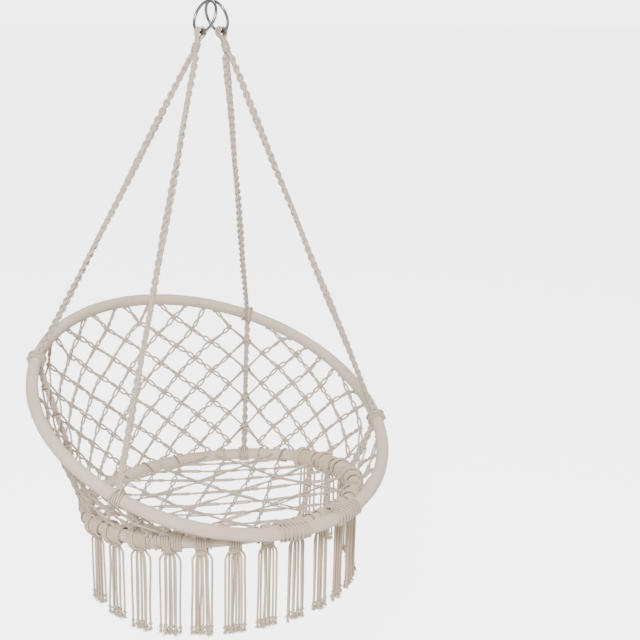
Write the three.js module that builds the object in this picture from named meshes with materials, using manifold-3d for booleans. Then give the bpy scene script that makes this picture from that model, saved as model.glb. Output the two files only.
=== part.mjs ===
// Hanging macrame chair: two steel rings, four ropes, a large tilted hoop, a small seat hoop,
// a knotted net between the hoops, a knotted seat net, cord lashings and a fringe of tassels.
// Millimetres, +Z up, the front of the chair towards -Y. The origin is the point where a hook
// bears on the inside of the two rings.
import * as THREE from "three";
import { mergeVertices } from "three/addons/utils/BufferGeometryUtils.js";
import Module from "manifold-3d";

const wasm = await Module();
wasm.setup();

// Hanging rings
const RING_OUTER_DIAMETER = 70;
const RING_WIRE_DIAMETER = 6;
const RING_SIDE_GAP = 0.4; // between the two wires on the hook
const RING_LEAN = THREE.MathUtils.degToRad(21); // each ring leans out in line with its ropes

// Large hoop, the rim of the back and arms
const RIM_OUTER_DIAMETER = 800;
const RIM_CENTRE_BACK = 0; // Y of the centre
const RIM_DROP = 836; // below the origin
const RIM_TILT = THREE.MathUtils.degToRad(22.4); // back edge up

// Small hoop, the edge of the seat
const SEAT_OUTER_DIAMETER = 614;
const SEAT_CENTRE_BACK = -33;
const SEAT_DROP = 1035;
const SEAT_TILT = THREE.MathUtils.degToRad(-8.5); // back edge down

// Hoop make-up: a steel bar in a padded fabric sleeve with one sewn seam
const SLEEVE_DIAMETER = 26;
const BAR_DIAMETER = 16;
const SEAM_OPENING = 1.2;
const HOOP_STEPS = 40;
const SLEEVE_OUTER_SIDES = 8;
const SLEEVE_INNER_SIDES = 5;

// Ropes
const ROPE_DIAMETER = 14;
const ROPE_SIDES = 8;
const FRONT_TIE_ANGLE = THREE.MathUtils.degToRad(63.5); // from the front of the hoops
const REAR_TIE_ANGLE = THREE.MathUtils.degToRad(131);

// Rope eyes over the rings
const EYE_CORD_DIAMETER = 5;
const EYE_LEG_LENGTH = 13; // from the ring wire's middle to the neck
const NECK_DIAMETER = 11;
const NECK_LENGTH = 32;
const NECK_FLANGE_DIAMETER = 18;
const NECK_FLANGE_THICKNESS = 4;

// Cord windings
const WRAP_CORD_DIAMETER = 4.4;
const WRAP_PITCH = 5.2; // leaves 0.8 between turns
const WRAP_STEPS = 8; // to each turn
const WRAP_SIDES = 3;
const NECK_WRAP_TURNS = 5;
const NECK_WRAP_CORD_DIAMETER = 3.4;
const NECK_WRAP_PITCH = 4.2;
const TIE_TURNS = 3;
// How far the ends of the ropes and stays sink in between the turns of a tie
const ROPE_BED = { front: 2.5, rear: 1.9 };
const STAY_TOP_BED = { front: 6.9, rear: 1.8 }; // the front stay ends beside its tie
const STAY_FOOT_BED = { front: 0.9, rear: 0.3 };
const LASHING_TURNS = 7;
const LASHING_ANGLE = THREE.MathUtils.degToRad(12.9); // on the seat hoop
const LASHING_GAP = 2.1; // under the cord, because the two hoops aren't parallel

// Net between the hoops
const NET_ROW_PITCH = 35; // along the slope, from one row of knots to the next
const NET_FIRST_ROW = 33; // from the seat hoop's middle to the first row of knots
const NET_CORD_WIDTH = 6; // a pair of cords side by side
const NET_CORD_THICKNESS = 3.2;
const BACK_COLUMNS = 7;
const SIDE_COLUMNS = 5;
const FRONT_COLUMNS = 10;
const LOOP_WIDTH = 9; // a net loop round a hoop, with a ridge in the middle
const LOOP_THICKNESS = 3.4;
const LOOP_SIDES = 6;
const CORD_PAST_LOOP = 3; // from a loop's ridge to where the net's cords meet
const CORD_TO_STAY = 3.5; // from a stay's surface to the middle of the net cord's turn

// Seat net: each cord runs from one loop on the seat hoop to another
const SEAT_SAG = 14; // at the middle
const SEAT_LOOP_SHARES = [0, 0.128, 0.228, 0.334, 0.411, 0.487, 0.611, 0.68, 0.778, 0.911, 1];
// The shares above are of half a turn, from the front; the other side is its mirror image.
const SEAT_CORD_SLANT = 5; // the two loop numbers of a cord add up to this

// Tassels on the seat hoop, one between each two columns of net
const TASSEL_CORDS = 5;
const TASSEL_CORD_DIAMETER = 4;
const TASSEL_SPREAD = 38; // between the outer cords at the tips
const TASSEL_DEPTH = 14; // front to back, between the cords
const TASSEL_HEAD_WIDTH = 26;
const TASSEL_HEAD_DEPTH = 5.5;
const TASSEL_HEAD_DROP = 27; // from the hoop's middle to where the cords come out
const TASSEL_DROP = 205; // from the hoop's middle to the tips
const TASSEL_KNOT_DIAMETER = 7.6;
const TASSEL_KNOT_LENGTH = 9;
const TASSEL_TIP_LENGTH = 13; // the frayed end below the knot
const TASSEL_LOOP_WIDTH = 16;
const TASSEL_DROP_SHARES = [1, 1, 1, 1, 1, 0.98, 0.92, 0.84]; // from the front to the side

// Clearances
const REST_GAP = 0.4; // between pieces that touch on the real chair
const LOOP_GAP = 0.6; // under a net loop round a hoop
const TASSEL_GAP = 0.8; // under a tassel's loop, which turns on the hoop
const TIE_GAP = 0.6; // under a tie, which is straight where the hoop bends
const BAR_GAP = 0.6; // between a hoop's bar and its sleeve's bore
const EYE_GAP = 0.45; // between a rope eye and the ring that it swings on

// Derived sizes
const WIRE_RADIUS = RING_WIRE_DIAMETER / 2;
const RING_RADIUS = (RING_OUTER_DIAMETER - RING_WIRE_DIAMETER) / 2;
const SLEEVE_RADIUS = SLEEVE_DIAMETER / 2;
const BAR_RADIUS = BAR_DIAMETER / 2;
const ROPE_RADIUS = ROPE_DIAMETER / 2;
const RIM_RADIUS = (RIM_OUTER_DIAMETER - SLEEVE_DIAMETER) / 2;
const SEAT_RADIUS = (SEAT_OUTER_DIAMETER - SLEEVE_DIAMETER) / 2;
const RING_TOP_SIDE = (RING_WIRE_DIAMETER + RING_SIDE_GAP) / 2;
const LOOP_OUTER_RADIUS = SLEEVE_RADIUS + LOOP_GAP + LOOP_THICKNESS;
const LOOP_MOUTH = 2 * Math.asin(NET_CORD_THICKNESS / LOOP_OUTER_RADIUS); // where cords leave it
const LOOP_STEP = (2 * Math.PI - LOOP_MOUTH) / (LOOP_SIDES - 1);
const LOOP_RIDGE_RADIUS = LOOP_OUTER_RADIUS / Math.cos(LOOP_STEP / 2);

const FABRIC = new THREE.MeshStandardMaterial({ color: 0xcbc3b8, roughness: 0.9, metalness: 0 });
const CORD = new THREE.MeshStandardMaterial({ color: 0xbdb3a6, roughness: 0.95, metalness: 0 });
const FRINGE = new THREE.MeshStandardMaterial({ color: 0xc8bcae, roughness: 0.95, metalness: 0 });
const RING_STEEL = new THREE.MeshStandardMaterial({ color: 0x9a9c9e, roughness: 0.3, metalness: 1 });
const BAR_STEEL = new THREE.MeshStandardMaterial({ color: 0x4a4b4d, roughness: 0.5, metalness: 0.8 });

const chair = new THREE.Group();

function addPiece(name, geometry, material) {
  const mesh = new THREE.Mesh(geometry, material);
  mesh.name = name;
  chair.add(mesh);
  return mesh;
}

// Solids for joining
function solidOf(geometry) {
  const bare = geometry.clone();
  bare.deleteAttribute("normal");
  bare.deleteAttribute("uv");
  const merged = mergeVertices(bare, 1e-4);
  return new wasm.Manifold(
    new wasm.Mesh({
      numProp: 3,
      vertProperties: merged.attributes.position.array,
      triVerts: new Uint32Array(merged.index.array),
    }),
  );
}

function joined(geometries) {
  const whole = geometries.map(solidOf).reduce((sum, next) => sum.add(next));
  const mesh = whole.getMesh();
  const geometry = new THREE.BufferGeometry();
  geometry.setAttribute("position", new THREE.BufferAttribute(mesh.vertProperties, 3));
  geometry.setIndex(new THREE.BufferAttribute(mesh.triVerts, 1));
  return geometry;
}

// Surface built from shared points
class Surface {
  constructor() {
    this.points = [];
    this.faces = [];
  }

  point(v) {
    this.points.push(v.x, v.y, v.z);
    return this.points.length / 3 - 1;
  }

  polygon(...corners) {
    for (let i = 1; i + 1 < corners.length; i++) {
      this.faces.push(corners[0], corners[i], corners[i + 1]);
    }
  }

  // Walls between rings of points that run the same way round.
  walls(rings, closed) {
    const last = closed ? rings.length : rings.length - 1;
    for (let i = 0; i < last; i++) {
      const a = rings[i];
      const b = rings[(i + 1) % rings.length];
      for (let j = 0; j < a.length; j++) {
        const k = (j + 1) % a.length;
        this.polygon(a[j], a[k], b[k], b[j]);
      }
    }
  }

  geometry() {
    const geometry = new THREE.BufferGeometry();
    geometry.setAttribute("position", new THREE.Float32BufferAttribute(this.points, 3));
    geometry.setIndex(this.faces);
    return geometry;
  }
}

// A tube of flat-sided section through the given points, with one radius or one for each.
function tubeThrough(path, radii, sides, up) {
  const surface = new Surface();
  const rings = path.map((centre, i) => {
    const before = path[Math.max(i - 1, 0)];
    const after = path[Math.min(i + 1, path.length - 1)];
    const along = after.clone().sub(before).normalize();
    const side = up(i).clone().addScaledVector(along, -up(i).dot(along)).normalize();
    const other = new THREE.Vector3().crossVectors(along, side);
    const radius = Array.isArray(radii) ? radii[i] : radii;
    return Array.from({ length: sides }, (_, j) => {
      const turn = (2 * Math.PI * (j + 0.5)) / sides;
      return surface.point(
        centre
          .clone()
          .addScaledVector(side, radius * Math.cos(turn))
          .addScaledVector(other, radius * Math.sin(turn)),
      );
    });
  });
  surface.walls(rings, false);
  surface.polygon(...[...rings[0]].reverse());
  surface.polygon(...rings[rings.length - 1]);
  return surface.geometry();
}

// Hoops: the angle runs from the front (-Y) towards +X
class Hoop {
  constructor(radius, back, drop, tilt) {
    this.radius = radius;
    this.centre = new THREE.Vector3(0, back, -drop);
    this.tilt = tilt;
  }

  turn(v) {
    return v.applyAxisAngle(new THREE.Vector3(1, 0, 0), this.tilt);
  }

  onCircle(angle) {
    const flat = new THREE.Vector3(Math.sin(angle), -Math.cos(angle), 0);
    return this.turn(flat.multiplyScalar(this.radius)).add(this.centre);
  }

  // The middle of the faceted tube at an angle, which lies on a chord of the circle.
  at(angle) {
    const step = (2 * Math.PI) / HOOP_STEPS;
    const first = Math.floor(angle / step);
    const share = angle / step - first;
    return this.onCircle(first * step).lerp(this.onCircle((first + 1) * step), share);
  }

  tangent(angle) {
    return this.turn(new THREE.Vector3(Math.cos(angle), Math.sin(angle), 0));
  }

  outward(angle) {
    return this.turn(new THREE.Vector3(Math.sin(angle), -Math.cos(angle), 0));
  }

  normal() {
    return this.turn(new THREE.Vector3(0, 0, 1));
  }

  place(geometry) {
    geometry.rotateX(Math.PI / 2 + this.tilt);
    return geometry.translate(this.centre.x, this.centre.y, this.centre.z);
  }
}

const rim = new Hoop(RIM_RADIUS, RIM_CENTRE_BACK, RIM_DROP, RIM_TILT);
const seat = new Hoop(SEAT_RADIUS, SEAT_CENTRE_BACK, SEAT_DROP, SEAT_TILT);

// Section of the sleeve: an outer and an inner round with a slit at the sewn seam.
function sleeveProfile(hoopRadius) {
  const innerRadius = BAR_RADIUS + BAR_GAP / Math.cos(Math.PI / SLEEVE_INNER_SIDES);
  const arc = (radius, sides) => {
    const half = Math.asin(SEAM_OPENING / 2 / radius);
    return Array.from({ length: sides + 1 }, (_, i) => {
      const turn = Math.PI + half + ((2 * Math.PI - 2 * half) * i) / sides;
      return new THREE.Vector2(hoopRadius + radius * Math.cos(turn), radius * Math.sin(turn));
    });
  };
  const outer = arc(SLEEVE_RADIUS, SLEEVE_OUTER_SIDES);
  const inner = arc(innerRadius, SLEEVE_INNER_SIDES).reverse();
  return [...outer, ...inner, outer[0].clone()];
}

function roundProfile(hoopRadius, radius, sides) {
  return Array.from({ length: sides + 1 }, (_, i) => {
    const turn = Math.PI + (2 * Math.PI * i) / sides;
    return new THREE.Vector2(hoopRadius + radius * Math.cos(turn), radius * Math.sin(turn));
  });
}

function addHoop(name, hoop) {
  const sleeve = new THREE.LatheGeometry(sleeveProfile(hoop.radius), HOOP_STEPS);
  addPiece(name + "_sleeve", hoop.place(sleeve), FABRIC);
  const profile = roundProfile(hoop.radius, BAR_RADIUS, SLEEVE_INNER_SIDES);
  addPiece(name + "_bar", hoop.place(new THREE.LatheGeometry(profile, HOOP_STEPS)), BAR_STEEL);
}

// Rings and rope eyes
const RING_STEPS = 24;
const RING_WIRE_SIDES = 6;

function sideFrame(side) {
  const down = new THREE.Vector3(side * Math.sin(RING_LEAN), 0, -Math.cos(RING_LEAN));
  const across = new THREE.Vector3(Math.cos(RING_LEAN), 0, side * Math.sin(RING_LEAN));
  const top = new THREE.Vector3(side * RING_TOP_SIDE, 0, WIRE_RADIUS);
  const bottom = top.clone().addScaledVector(down, 2 * RING_RADIUS);
  return { down, across, top, bottom };
}

function addRing(name, side) {
  const { down, top } = sideFrame(side);
  const profile = roundProfile(RING_RADIUS, WIRE_RADIUS, RING_WIRE_SIDES);
  const ring = new THREE.LatheGeometry(profile, RING_STEPS);
  ring.rotateZ(Math.PI / 2); // the ring's axis along X
  ring.rotateY(-side * RING_LEAN);
  const centre = top.clone().addScaledVector(down, RING_RADIUS);
  addPiece(name, ring.translate(centre.x, centre.y, centre.z), RING_STEEL);
}

const EYE_LEG_OFFSET = WIRE_RADIUS + EYE_GAP + EYE_CORD_DIAMETER / 2;
const NECK_END = EYE_LEG_LENGTH + NECK_LENGTH + NECK_FLANGE_THICKNESS;
const EYE_BEND_STEPS = 6;
const EYE_CORD_SIDES = 6;
const NECK_STEPS = 8;

// A bight of cord over the ring's lower side, with both legs bound into a neck.
function addEye(name, side) {
  const { down, across, bottom } = sideFrame(side);
  const front = new THREE.Vector3(0, 1, 0);
  const place = (x, z) =>
    bottom.clone().addScaledVector(across, x).addScaledVector(down, z);
  const path = [place(-EYE_LEG_OFFSET, EYE_LEG_LENGTH + NECK_FLANGE_THICKNESS / 2)];
  for (let i = 0; i <= EYE_BEND_STEPS; i++) {
    const turn = (Math.PI * i) / EYE_BEND_STEPS;
    path.push(place(-EYE_LEG_OFFSET * Math.cos(turn), -EYE_LEG_OFFSET * Math.sin(turn)));
  }
  path.push(place(EYE_LEG_OFFSET, EYE_LEG_LENGTH + NECK_FLANGE_THICKNESS / 2));
  const bight = tubeThrough(path, EYE_CORD_DIAMETER / 2, EYE_CORD_SIDES, () => front);
  const shoulder = EYE_LEG_OFFSET + EYE_CORD_DIAMETER / 2;
  const flange = NECK_FLANGE_DIAMETER / 2;
  const profile = [
    new THREE.Vector2(0, -NECK_END),
    new THREE.Vector2(flange, -NECK_END),
    new THREE.Vector2(flange, -NECK_END + NECK_FLANGE_THICKNESS / 2),
    new THREE.Vector2(NECK_DIAMETER / 2, -NECK_END + NECK_FLANGE_THICKNESS),
    new THREE.Vector2(NECK_DIAMETER / 2, -EYE_LEG_LENGTH - NECK_FLANGE_THICKNESS),
    new THREE.Vector2(shoulder, -EYE_LEG_LENGTH - NECK_FLANGE_THICKNESS / 2),
    new THREE.Vector2(shoulder, -EYE_LEG_LENGTH),
    new THREE.Vector2(0, -EYE_LEG_LENGTH),
  ];
  const neck = new THREE.LatheGeometry(profile, NECK_STEPS);
  neck.rotateX(Math.PI / 2); // the neck's axis along Z
  neck.rotateY(-side * RING_LEAN);
  neck.translate(bottom.x, bottom.y, bottom.z);
  addPiece(name, joined([bight, neck]), CORD);
}

// Windings: an unbroken cord round an axis
const windingGaps = [];

function helix(centre, axis, ahead, section, turns, pitch, steps) {
  const side = new THREE.Vector3().crossVectors(axis, ahead);
  const count = Math.round(turns * steps);
  return Array.from({ length: count + 1 }, (_, i) => {
    const [x, y] = section((2 * Math.PI * i) / steps);
    return centre
      .clone()
      .addScaledVector(axis, pitch * (i / steps - turns / 2))
      .addScaledVector(ahead, x)
      .addScaledVector(side, y);
  });
}

// The least distance between turns, measured between points a turn apart.
function noteGap(name, path, steps, cord) {
  let least = Infinity;
  for (let i = 0; i + steps < path.length; i++) {
    for (let j = i + steps - 1; j < Math.min(i + steps + 2, path.length); j++) {
      least = Math.min(least, path[i].distanceTo(path[j]) - cord);
    }
  }
  windingGaps.push(name + " " + least.toFixed(2));
}

function addWinding(name, centre, axis, ahead, section, turns, pitch, steps, cord) {
  const path = helix(centre, axis, ahead, section, turns, pitch, steps);
  noteGap(name, path, steps, cord);
  const inward = (i) => new THREE.Vector3().crossVectors(axis, path[Math.min(i + 1, path.length - 1)]
    .clone()
    .sub(path[Math.max(i - 1, 0)]));
  const geometry = tubeThrough(path, cord / 2, WRAP_SIDES, inward);
  addPiece(name, geometry, CORD);
}

// A cord's path radius that clears a core of the given radius between its steps. The flat
// side of a cord's section faces the core, a quarter of the cord's diameter from its middle.
function pathRadius(core, cord, steps, gap) {
  return (core + gap + cord / 4) / Math.cos(Math.PI / steps);
}

function addNeckWrap(name, side) {
  const { down, across, bottom } = sideFrame(side);
  const middle = EYE_LEG_LENGTH + NECK_FLANGE_THICKNESS + (NECK_LENGTH - NECK_FLANGE_THICKNESS) / 2;
  const radius = pathRadius(NECK_DIAMETER / 2, NECK_WRAP_CORD_DIAMETER, WRAP_STEPS, REST_GAP);
  const centre = bottom.clone().addScaledVector(down, middle);
  const section = (turn) => [radius * Math.cos(turn), radius * Math.sin(turn)];
  addWinding(
    name,
    centre,
    down,
    across,
    section,
    NECK_WRAP_TURNS,
    NECK_WRAP_PITCH,
    WRAP_STEPS,
    NECK_WRAP_CORD_DIAMETER,
  );
}

const TIE_PATH_RADIUS = pathRadius(SLEEVE_RADIUS, WRAP_CORD_DIAMETER, WRAP_STEPS, TIE_GAP);
const TIE_REACH = TIE_PATH_RADIUS + WRAP_CORD_DIAMETER / 2;

// The cord's steps are turned so that one lies under the rope that comes the given way.
function addTie(name, hoop, angle, way) {
  const section = (turn) => [TIE_PATH_RADIUS * Math.cos(turn), TIE_PATH_RADIUS * Math.sin(turn)];
  const axis = hoop.tangent(angle);
  const ahead = way.clone().addScaledVector(axis, -way.dot(axis)).normalize();
  const place = [hoop.at(angle), axis, ahead];
  addWinding(name, ...place, section, TIE_TURNS, WRAP_PITCH, WRAP_STEPS, WRAP_CORD_DIAMETER);
}

// Ropes and stays: straight, because the chair's weight pulls them taut
function addRope(name, start, end, radius) {
  const along = end.clone().sub(start);
  const rope = new THREE.CylinderGeometry(radius, radius, along.length(), ROPE_SIDES, 1);
  rope.translate(0, -along.length() / 2, 0);
  const turn = new THREE.Quaternion().setFromUnitVectors(
    new THREE.Vector3(0, -1, 0),
    along.clone().normalize(),
  );
  rope.applyQuaternion(turn);
  addPiece(name, rope.translate(start.x, start.y, start.z), CORD);
}

// How far from a hoop's middle a rope's square end stops so that it rests on the tie.
function tieStandOff(along, hoop, angle, bed) {
  const lean = Math.abs(along.dot(hoop.tangent(angle)));
  return (TIE_REACH + REST_GAP + ROPE_RADIUS * lean) / Math.sqrt(1 - lean * lean) - bed;
}

function addSlings(sideName, side) {
  const { down, bottom } = sideFrame(side);
  for (const [place, tieAngle, way] of [
    ["front", FRONT_TIE_ANGLE, -1],
    ["rear", REAR_TIE_ANGLE, 1],
  ]) {
    const angle = side * tieAngle;
    const apart = new THREE.Vector3(0, way * (ROPE_RADIUS + REST_GAP), 0);
    const head = bottom.clone().addScaledVector(down, NECK_END).add(apart);
    const foot = rim.at(angle);
    const along = foot.clone().sub(head).normalize();
    const slope = Math.sqrt(1 - along.dot(down) ** 2);
    const reach = NECK_FLANGE_DIAMETER / 2 - ROPE_RADIUS - REST_GAP;
    head.addScaledVector(along, REST_GAP + reach * slope);
    foot.addScaledVector(along, -tieStandOff(along, rim, angle, ROPE_BED[place]));
    addRope(`${place}_${sideName}_rope`, head, foot, ROPE_RADIUS);

    const stayTop = rim.at(angle);
    const stayFoot = seat.at(angle);
    const fall = stayFoot.clone().sub(stayTop).normalize();
    stayTop.addScaledVector(fall, tieStandOff(fall, rim, angle, STAY_TOP_BED[place]));
    stayFoot.addScaledVector(fall, -tieStandOff(fall, seat, angle, STAY_FOOT_BED[place]));
    addRope(`${place}_${sideName}_stay`, stayTop, stayFoot, ROPE_RADIUS);

    addTie(`${place}_${sideName}_rim_tie`, rim, angle, along);
    addTie(`${place}_${sideName}_seat_tie`, seat, angle, fall);
  }
}

// A lashing binds both hoops together where they lie side by side at the front
function addLashing(name, seatAngle) {
  const rimAngle = Math.asin((Math.sin(seatAngle) * seat.radius) / rim.radius);
  const middle = rim.at(rimAngle).add(seat.at(seatAngle)).multiplyScalar(0.5);
  const between = seat.at(seatAngle).sub(rim.at(rimAngle));
  const axis = rim.tangent(rimAngle).add(seat.tangent(seatAngle)).normalize();
  between.addScaledVector(axis, -between.dot(axis));
  const half = between.length() / 2;
  const ahead = between.normalize();
  const radius = pathRadius(SLEEVE_RADIUS, WRAP_CORD_DIAMETER, WRAP_STEPS, LASHING_GAP);
  const section = (turn) => {
    const angle = turn + Math.PI / WRAP_STEPS;
    const farther = Math.sign(Math.cos(angle)) * half;
    return [farther + radius * Math.cos(angle), radius * Math.sin(angle)];
  };
  const run = [section, LASHING_TURNS, WRAP_PITCH, WRAP_STEPS, WRAP_CORD_DIAMETER];
  addWinding(name, middle, axis, ahead, ...run);
}

// A loop of cord round a hoop, left open on the side where its cords come out.
function loopRound(surface, hoop, angle, way, width, gap) {
  const axis = hoop.tangent(angle);
  const ahead = way.clone().addScaledVector(axis, -way.dot(axis)).normalize();
  const side = new THREE.Vector3().crossVectors(axis, ahead);
  const centre = hoop.at(angle);
  const rings = Array.from({ length: LOOP_SIDES }, (_, i) => {
    const turn = i === 0 ? -LOOP_MOUTH / 2 : LOOP_MOUTH / 2 + (i - 1) * LOOP_STEP;
    const ray = ahead.clone().multiplyScalar(Math.cos(turn)).addScaledVector(side, Math.sin(turn));
    return [
      [0, width],
      [LOOP_THICKNESS, 0],
      [0, -width],
    ].map(([rise, across]) =>
      surface.point(
        centre
          .clone()
          .addScaledVector(ray, (SLEEVE_RADIUS + gap + rise) / Math.cos(LOOP_STEP / 2))
          .addScaledVector(axis, across / 2),
      ),
    );
  });
  const [a, b] = rings;
  surface.walls([...rings.slice(1), a], false);
  surface.polygon(a[2], a[0], b[0], b[2]);
  return { a, b, side, ahead, centre };
}

// A net: knots joined by flat pairs of cords, thickened into one body
class Net {
  constructor() {
    this.knots = [];
    this.surface = new Surface();
  }

  knot(place, normal) {
    this.knots.push({ place, normal, links: [] });
    return this.knots.length - 1;
  }

  link(a, b) {
    this.knots[a].links.push(b);
    this.knots[b].links.push(a);
  }

  // A loop on a hoop and, just off it, the knot where its cords part.
  loop(hoop, angle, way, normal) {
    const mouth = loopRound(this.surface, hoop, angle, way, LOOP_WIDTH, LOOP_GAP);
    const start = this.knot(mouth.centre, normal);
    this.knots[start].mouth = mouth;
    const reach = LOOP_RIDGE_RADIUS + CORD_PAST_LOOP;
    const place = mouth.centre.clone().addScaledVector(mouth.ahead, reach);
    const knot = this.knot(place, normal);
    this.link(start, knot);
    return knot;
  }

  geometry() {
    const surface = this.surface;
    const knots = this.knots.filter((knot) => !knot.mouth);
    for (const knot of knots) this.corners(knot, surface);
    for (const knot of knots) this.cap(knot, surface);
    this.knots.forEach((knot, a) => {
      for (const b of knot.links) {
        if (knot.mouth) this.plug(knot, b, a, surface);
        else if (a < b && !this.knots[b].mouth) this.cord(a, b, surface);
      }
    });
    return surface.geometry();
  }

  // Joins a knot to the mouth of its loop.
  plug({ mouth, normal }, knot, from, surface) {
    const [left, right] = this.sides(knot, from);
    const { a, b, side } = mouth;
    const outward = normal.dot(side) > 0;
    const p = outward ? [left.low, right.low] : [right.top, left.top];
    const r = outward ? [left.top, right.top] : [right.low, left.low];
    surface.polygon(a[0], a[1], p[0]);
    surface.polygon(a[1], p[1], p[0]);
    surface.polygon(a[1], a[2], p[1]);
    surface.polygon(a[2], b[2], r[1], p[1]);
    surface.polygon(b[2], b[1], r[1]);
    surface.polygon(b[1], r[0], r[1]);
    surface.polygon(b[1], b[0], r[0]);
    surface.polygon(b[0], a[0], p[0], r[0]);
  }

  // Sorts a knot's links round its normal and puts a corner between each two.
  corners(knot, surface) {
    const { place, normal } = knot;
    const first = this.knots[knot.links[0]].place.clone().sub(place);
    const ahead = first.addScaledVector(normal, -first.dot(normal)).normalize();
    const side = new THREE.Vector3().crossVectors(normal, ahead);
    const turnOf = (b) => {
      const way = this.knots[b].place.clone().sub(place);
      const turn = Math.atan2(way.dot(side), way.dot(ahead));
      return turn < -1e-9 ? turn + 2 * Math.PI : turn;
    };
    knot.links.sort((a, b) => turnOf(a) - turnOf(b));
    const count = knot.links.length;
    const turns = knot.links.map(turnOf);
    const corner = (turn, reach) => {
      const middle = place
        .clone()
        .addScaledVector(ahead, reach * Math.cos(turn))
        .addScaledVector(side, reach * Math.sin(turn));
      const lift = normal.clone().multiplyScalar(NET_CORD_THICKNESS / 2);
      return {
        top: surface.point(middle.clone().add(lift)),
        low: surface.point(middle.clone().sub(lift)),
      };
    };
    const half = NET_CORD_WIDTH / 2;
    if (count === 1) {
      const back = (3 * Math.PI) / 4;
      knot.corners = [corner(back, half), corner(-back, half)];
      return;
    }
    knot.corners = turns.map((turn, i) => {
      const gap = (i + 1 < count ? turns[i + 1] : turns[0] + 2 * Math.PI) - turn;
      const most = gap > Math.PI ? half : 2 * NET_CORD_WIDTH;
      return corner(turn + gap / 2, Math.min(half / Math.sin(gap / 2), most));
    });
  }

  // Closes a knot above and below, or the end of a single cord.
  cap(knot, surface) {
    const { corners } = knot;
    if (corners.length === 2 && knot.links.length === 1) {
      const [left, right] = corners;
      surface.polygon(left.top, left.low, right.low, right.top);
      return;
    }
    surface.polygon(...corners.map((corner) => corner.top));
    surface.polygon(...corners.map((corner) => corner.low).reverse());
  }

  cord(a, b, surface) {
    const [aLeft, aRight] = this.sides(a, b);
    const [bLeft, bRight] = this.sides(b, a);
    surface.polygon(aRight.top, bLeft.top, bRight.top, aLeft.top);
    surface.polygon(aLeft.low, bRight.low, bLeft.low, aRight.low);
    surface.polygon(aLeft.top, bRight.top, bRight.low, aLeft.low);
    surface.polygon(bLeft.top, aRight.top, aRight.low, bLeft.low);
  }

  // The corners left and right of the link from a knot to another.
  sides(a, b) {
    const { links, corners } = this.knots[a];
    if (links.length === 1) return corners;
    const i = links.indexOf(b);
    return [corners[i], corners[(i + corners.length - 1) % corners.length]];
  }
}

// The slope between the hoops at an angle, from the seat hoop up to the rim.
function slopeAt(angle) {
  const low = seat.at(angle);
  const high = rim.at(angle);
  const up = high.clone().sub(low);
  const length = up.length();
  up.normalize();
  const round = seat.tangent(angle);
  const normal = new THREE.Vector3().crossVectors(round, up).normalize();
  return { low, up, length, normal, at: (s) => low.clone().addScaledVector(up, s) };
}

// A panel of net from one stay to the next; rows start at the seat hoop and stop at the rim.
function addNetPanel(name, from, to, columns) {
  const net = new Net();
  const step = (to - from) / columns;
  const knotRoom = LOOP_RIDGE_RADIUS + CORD_PAST_LOOP + NET_CORD_WIDTH;
  const tieRoom = TIE_REACH + NET_CORD_WIDTH;
  const rows = Math.ceil(rim.radius / NET_ROW_PITCH) + 2;
  const grid = [];
  const heightOf = (row) => NET_FIRST_ROW + (row - 1) * NET_ROW_PITCH;
  for (let row = 0; row <= rows; row++) {
    const odd = row % 2 === 1;
    grid.push([]);
    for (let column = 0; column <= (odd ? columns - 1 : columns); column++) {
      const share = odd ? column + 0.5 : column;
      const onStay = !odd && (column === 0 || column === columns);
      grid[row].push(makeKnot(row, column, from + share * step, onStay));
    }
  }

  function below(row, column) {
    if (row < 1) return [];
    const line = grid[row - 1];
    const pair = row % 2 === 1 ? [column, column + 1] : [column - 1, column];
    return pair.map((i) => line[i]).filter((k) => k && k.ends !== "rim");
  }

  function makeKnot(row, column, angle, onStay) {
    const slope = slopeAt(angle);
    const height = heightOf(row);
    if (row === 0) {
      if (onStay || slope.length < knotRoom + NET_FIRST_ROW) return null;
      return { id: net.loop(seat, angle, slope.up, slope.normal), ends: "seat" };
    }
    const feet = below(row, column).filter((k) => k.ends !== "none");
    if (!feet.length) return null;
    let made = null;
    if (onStay) {
      if (height > slope.length - tieRoom || height < tieRoom) return null;
      const inward = column === 0 ? 1 : -1;
      const aside = ROPE_RADIUS + CORD_TO_STAY;
      const place = slope.at(height).addScaledVector(seat.tangent(angle), inward * aside);
      made = { id: net.knot(place, slope.normal), ends: "stay" };
    } else if (height <= slope.length - knotRoom) {
      made = { id: net.knot(slope.at(height), slope.normal), ends: "knot" };
    } else {
      made = { id: net.loop(rim, angle, slope.up.clone().negate(), slope.normal), ends: "rim" };
    }
    for (const foot of feet) net.link(foot.id, made.id);
    return made;
  }

  addPiece(name, net.geometry(), CORD);
}

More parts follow.
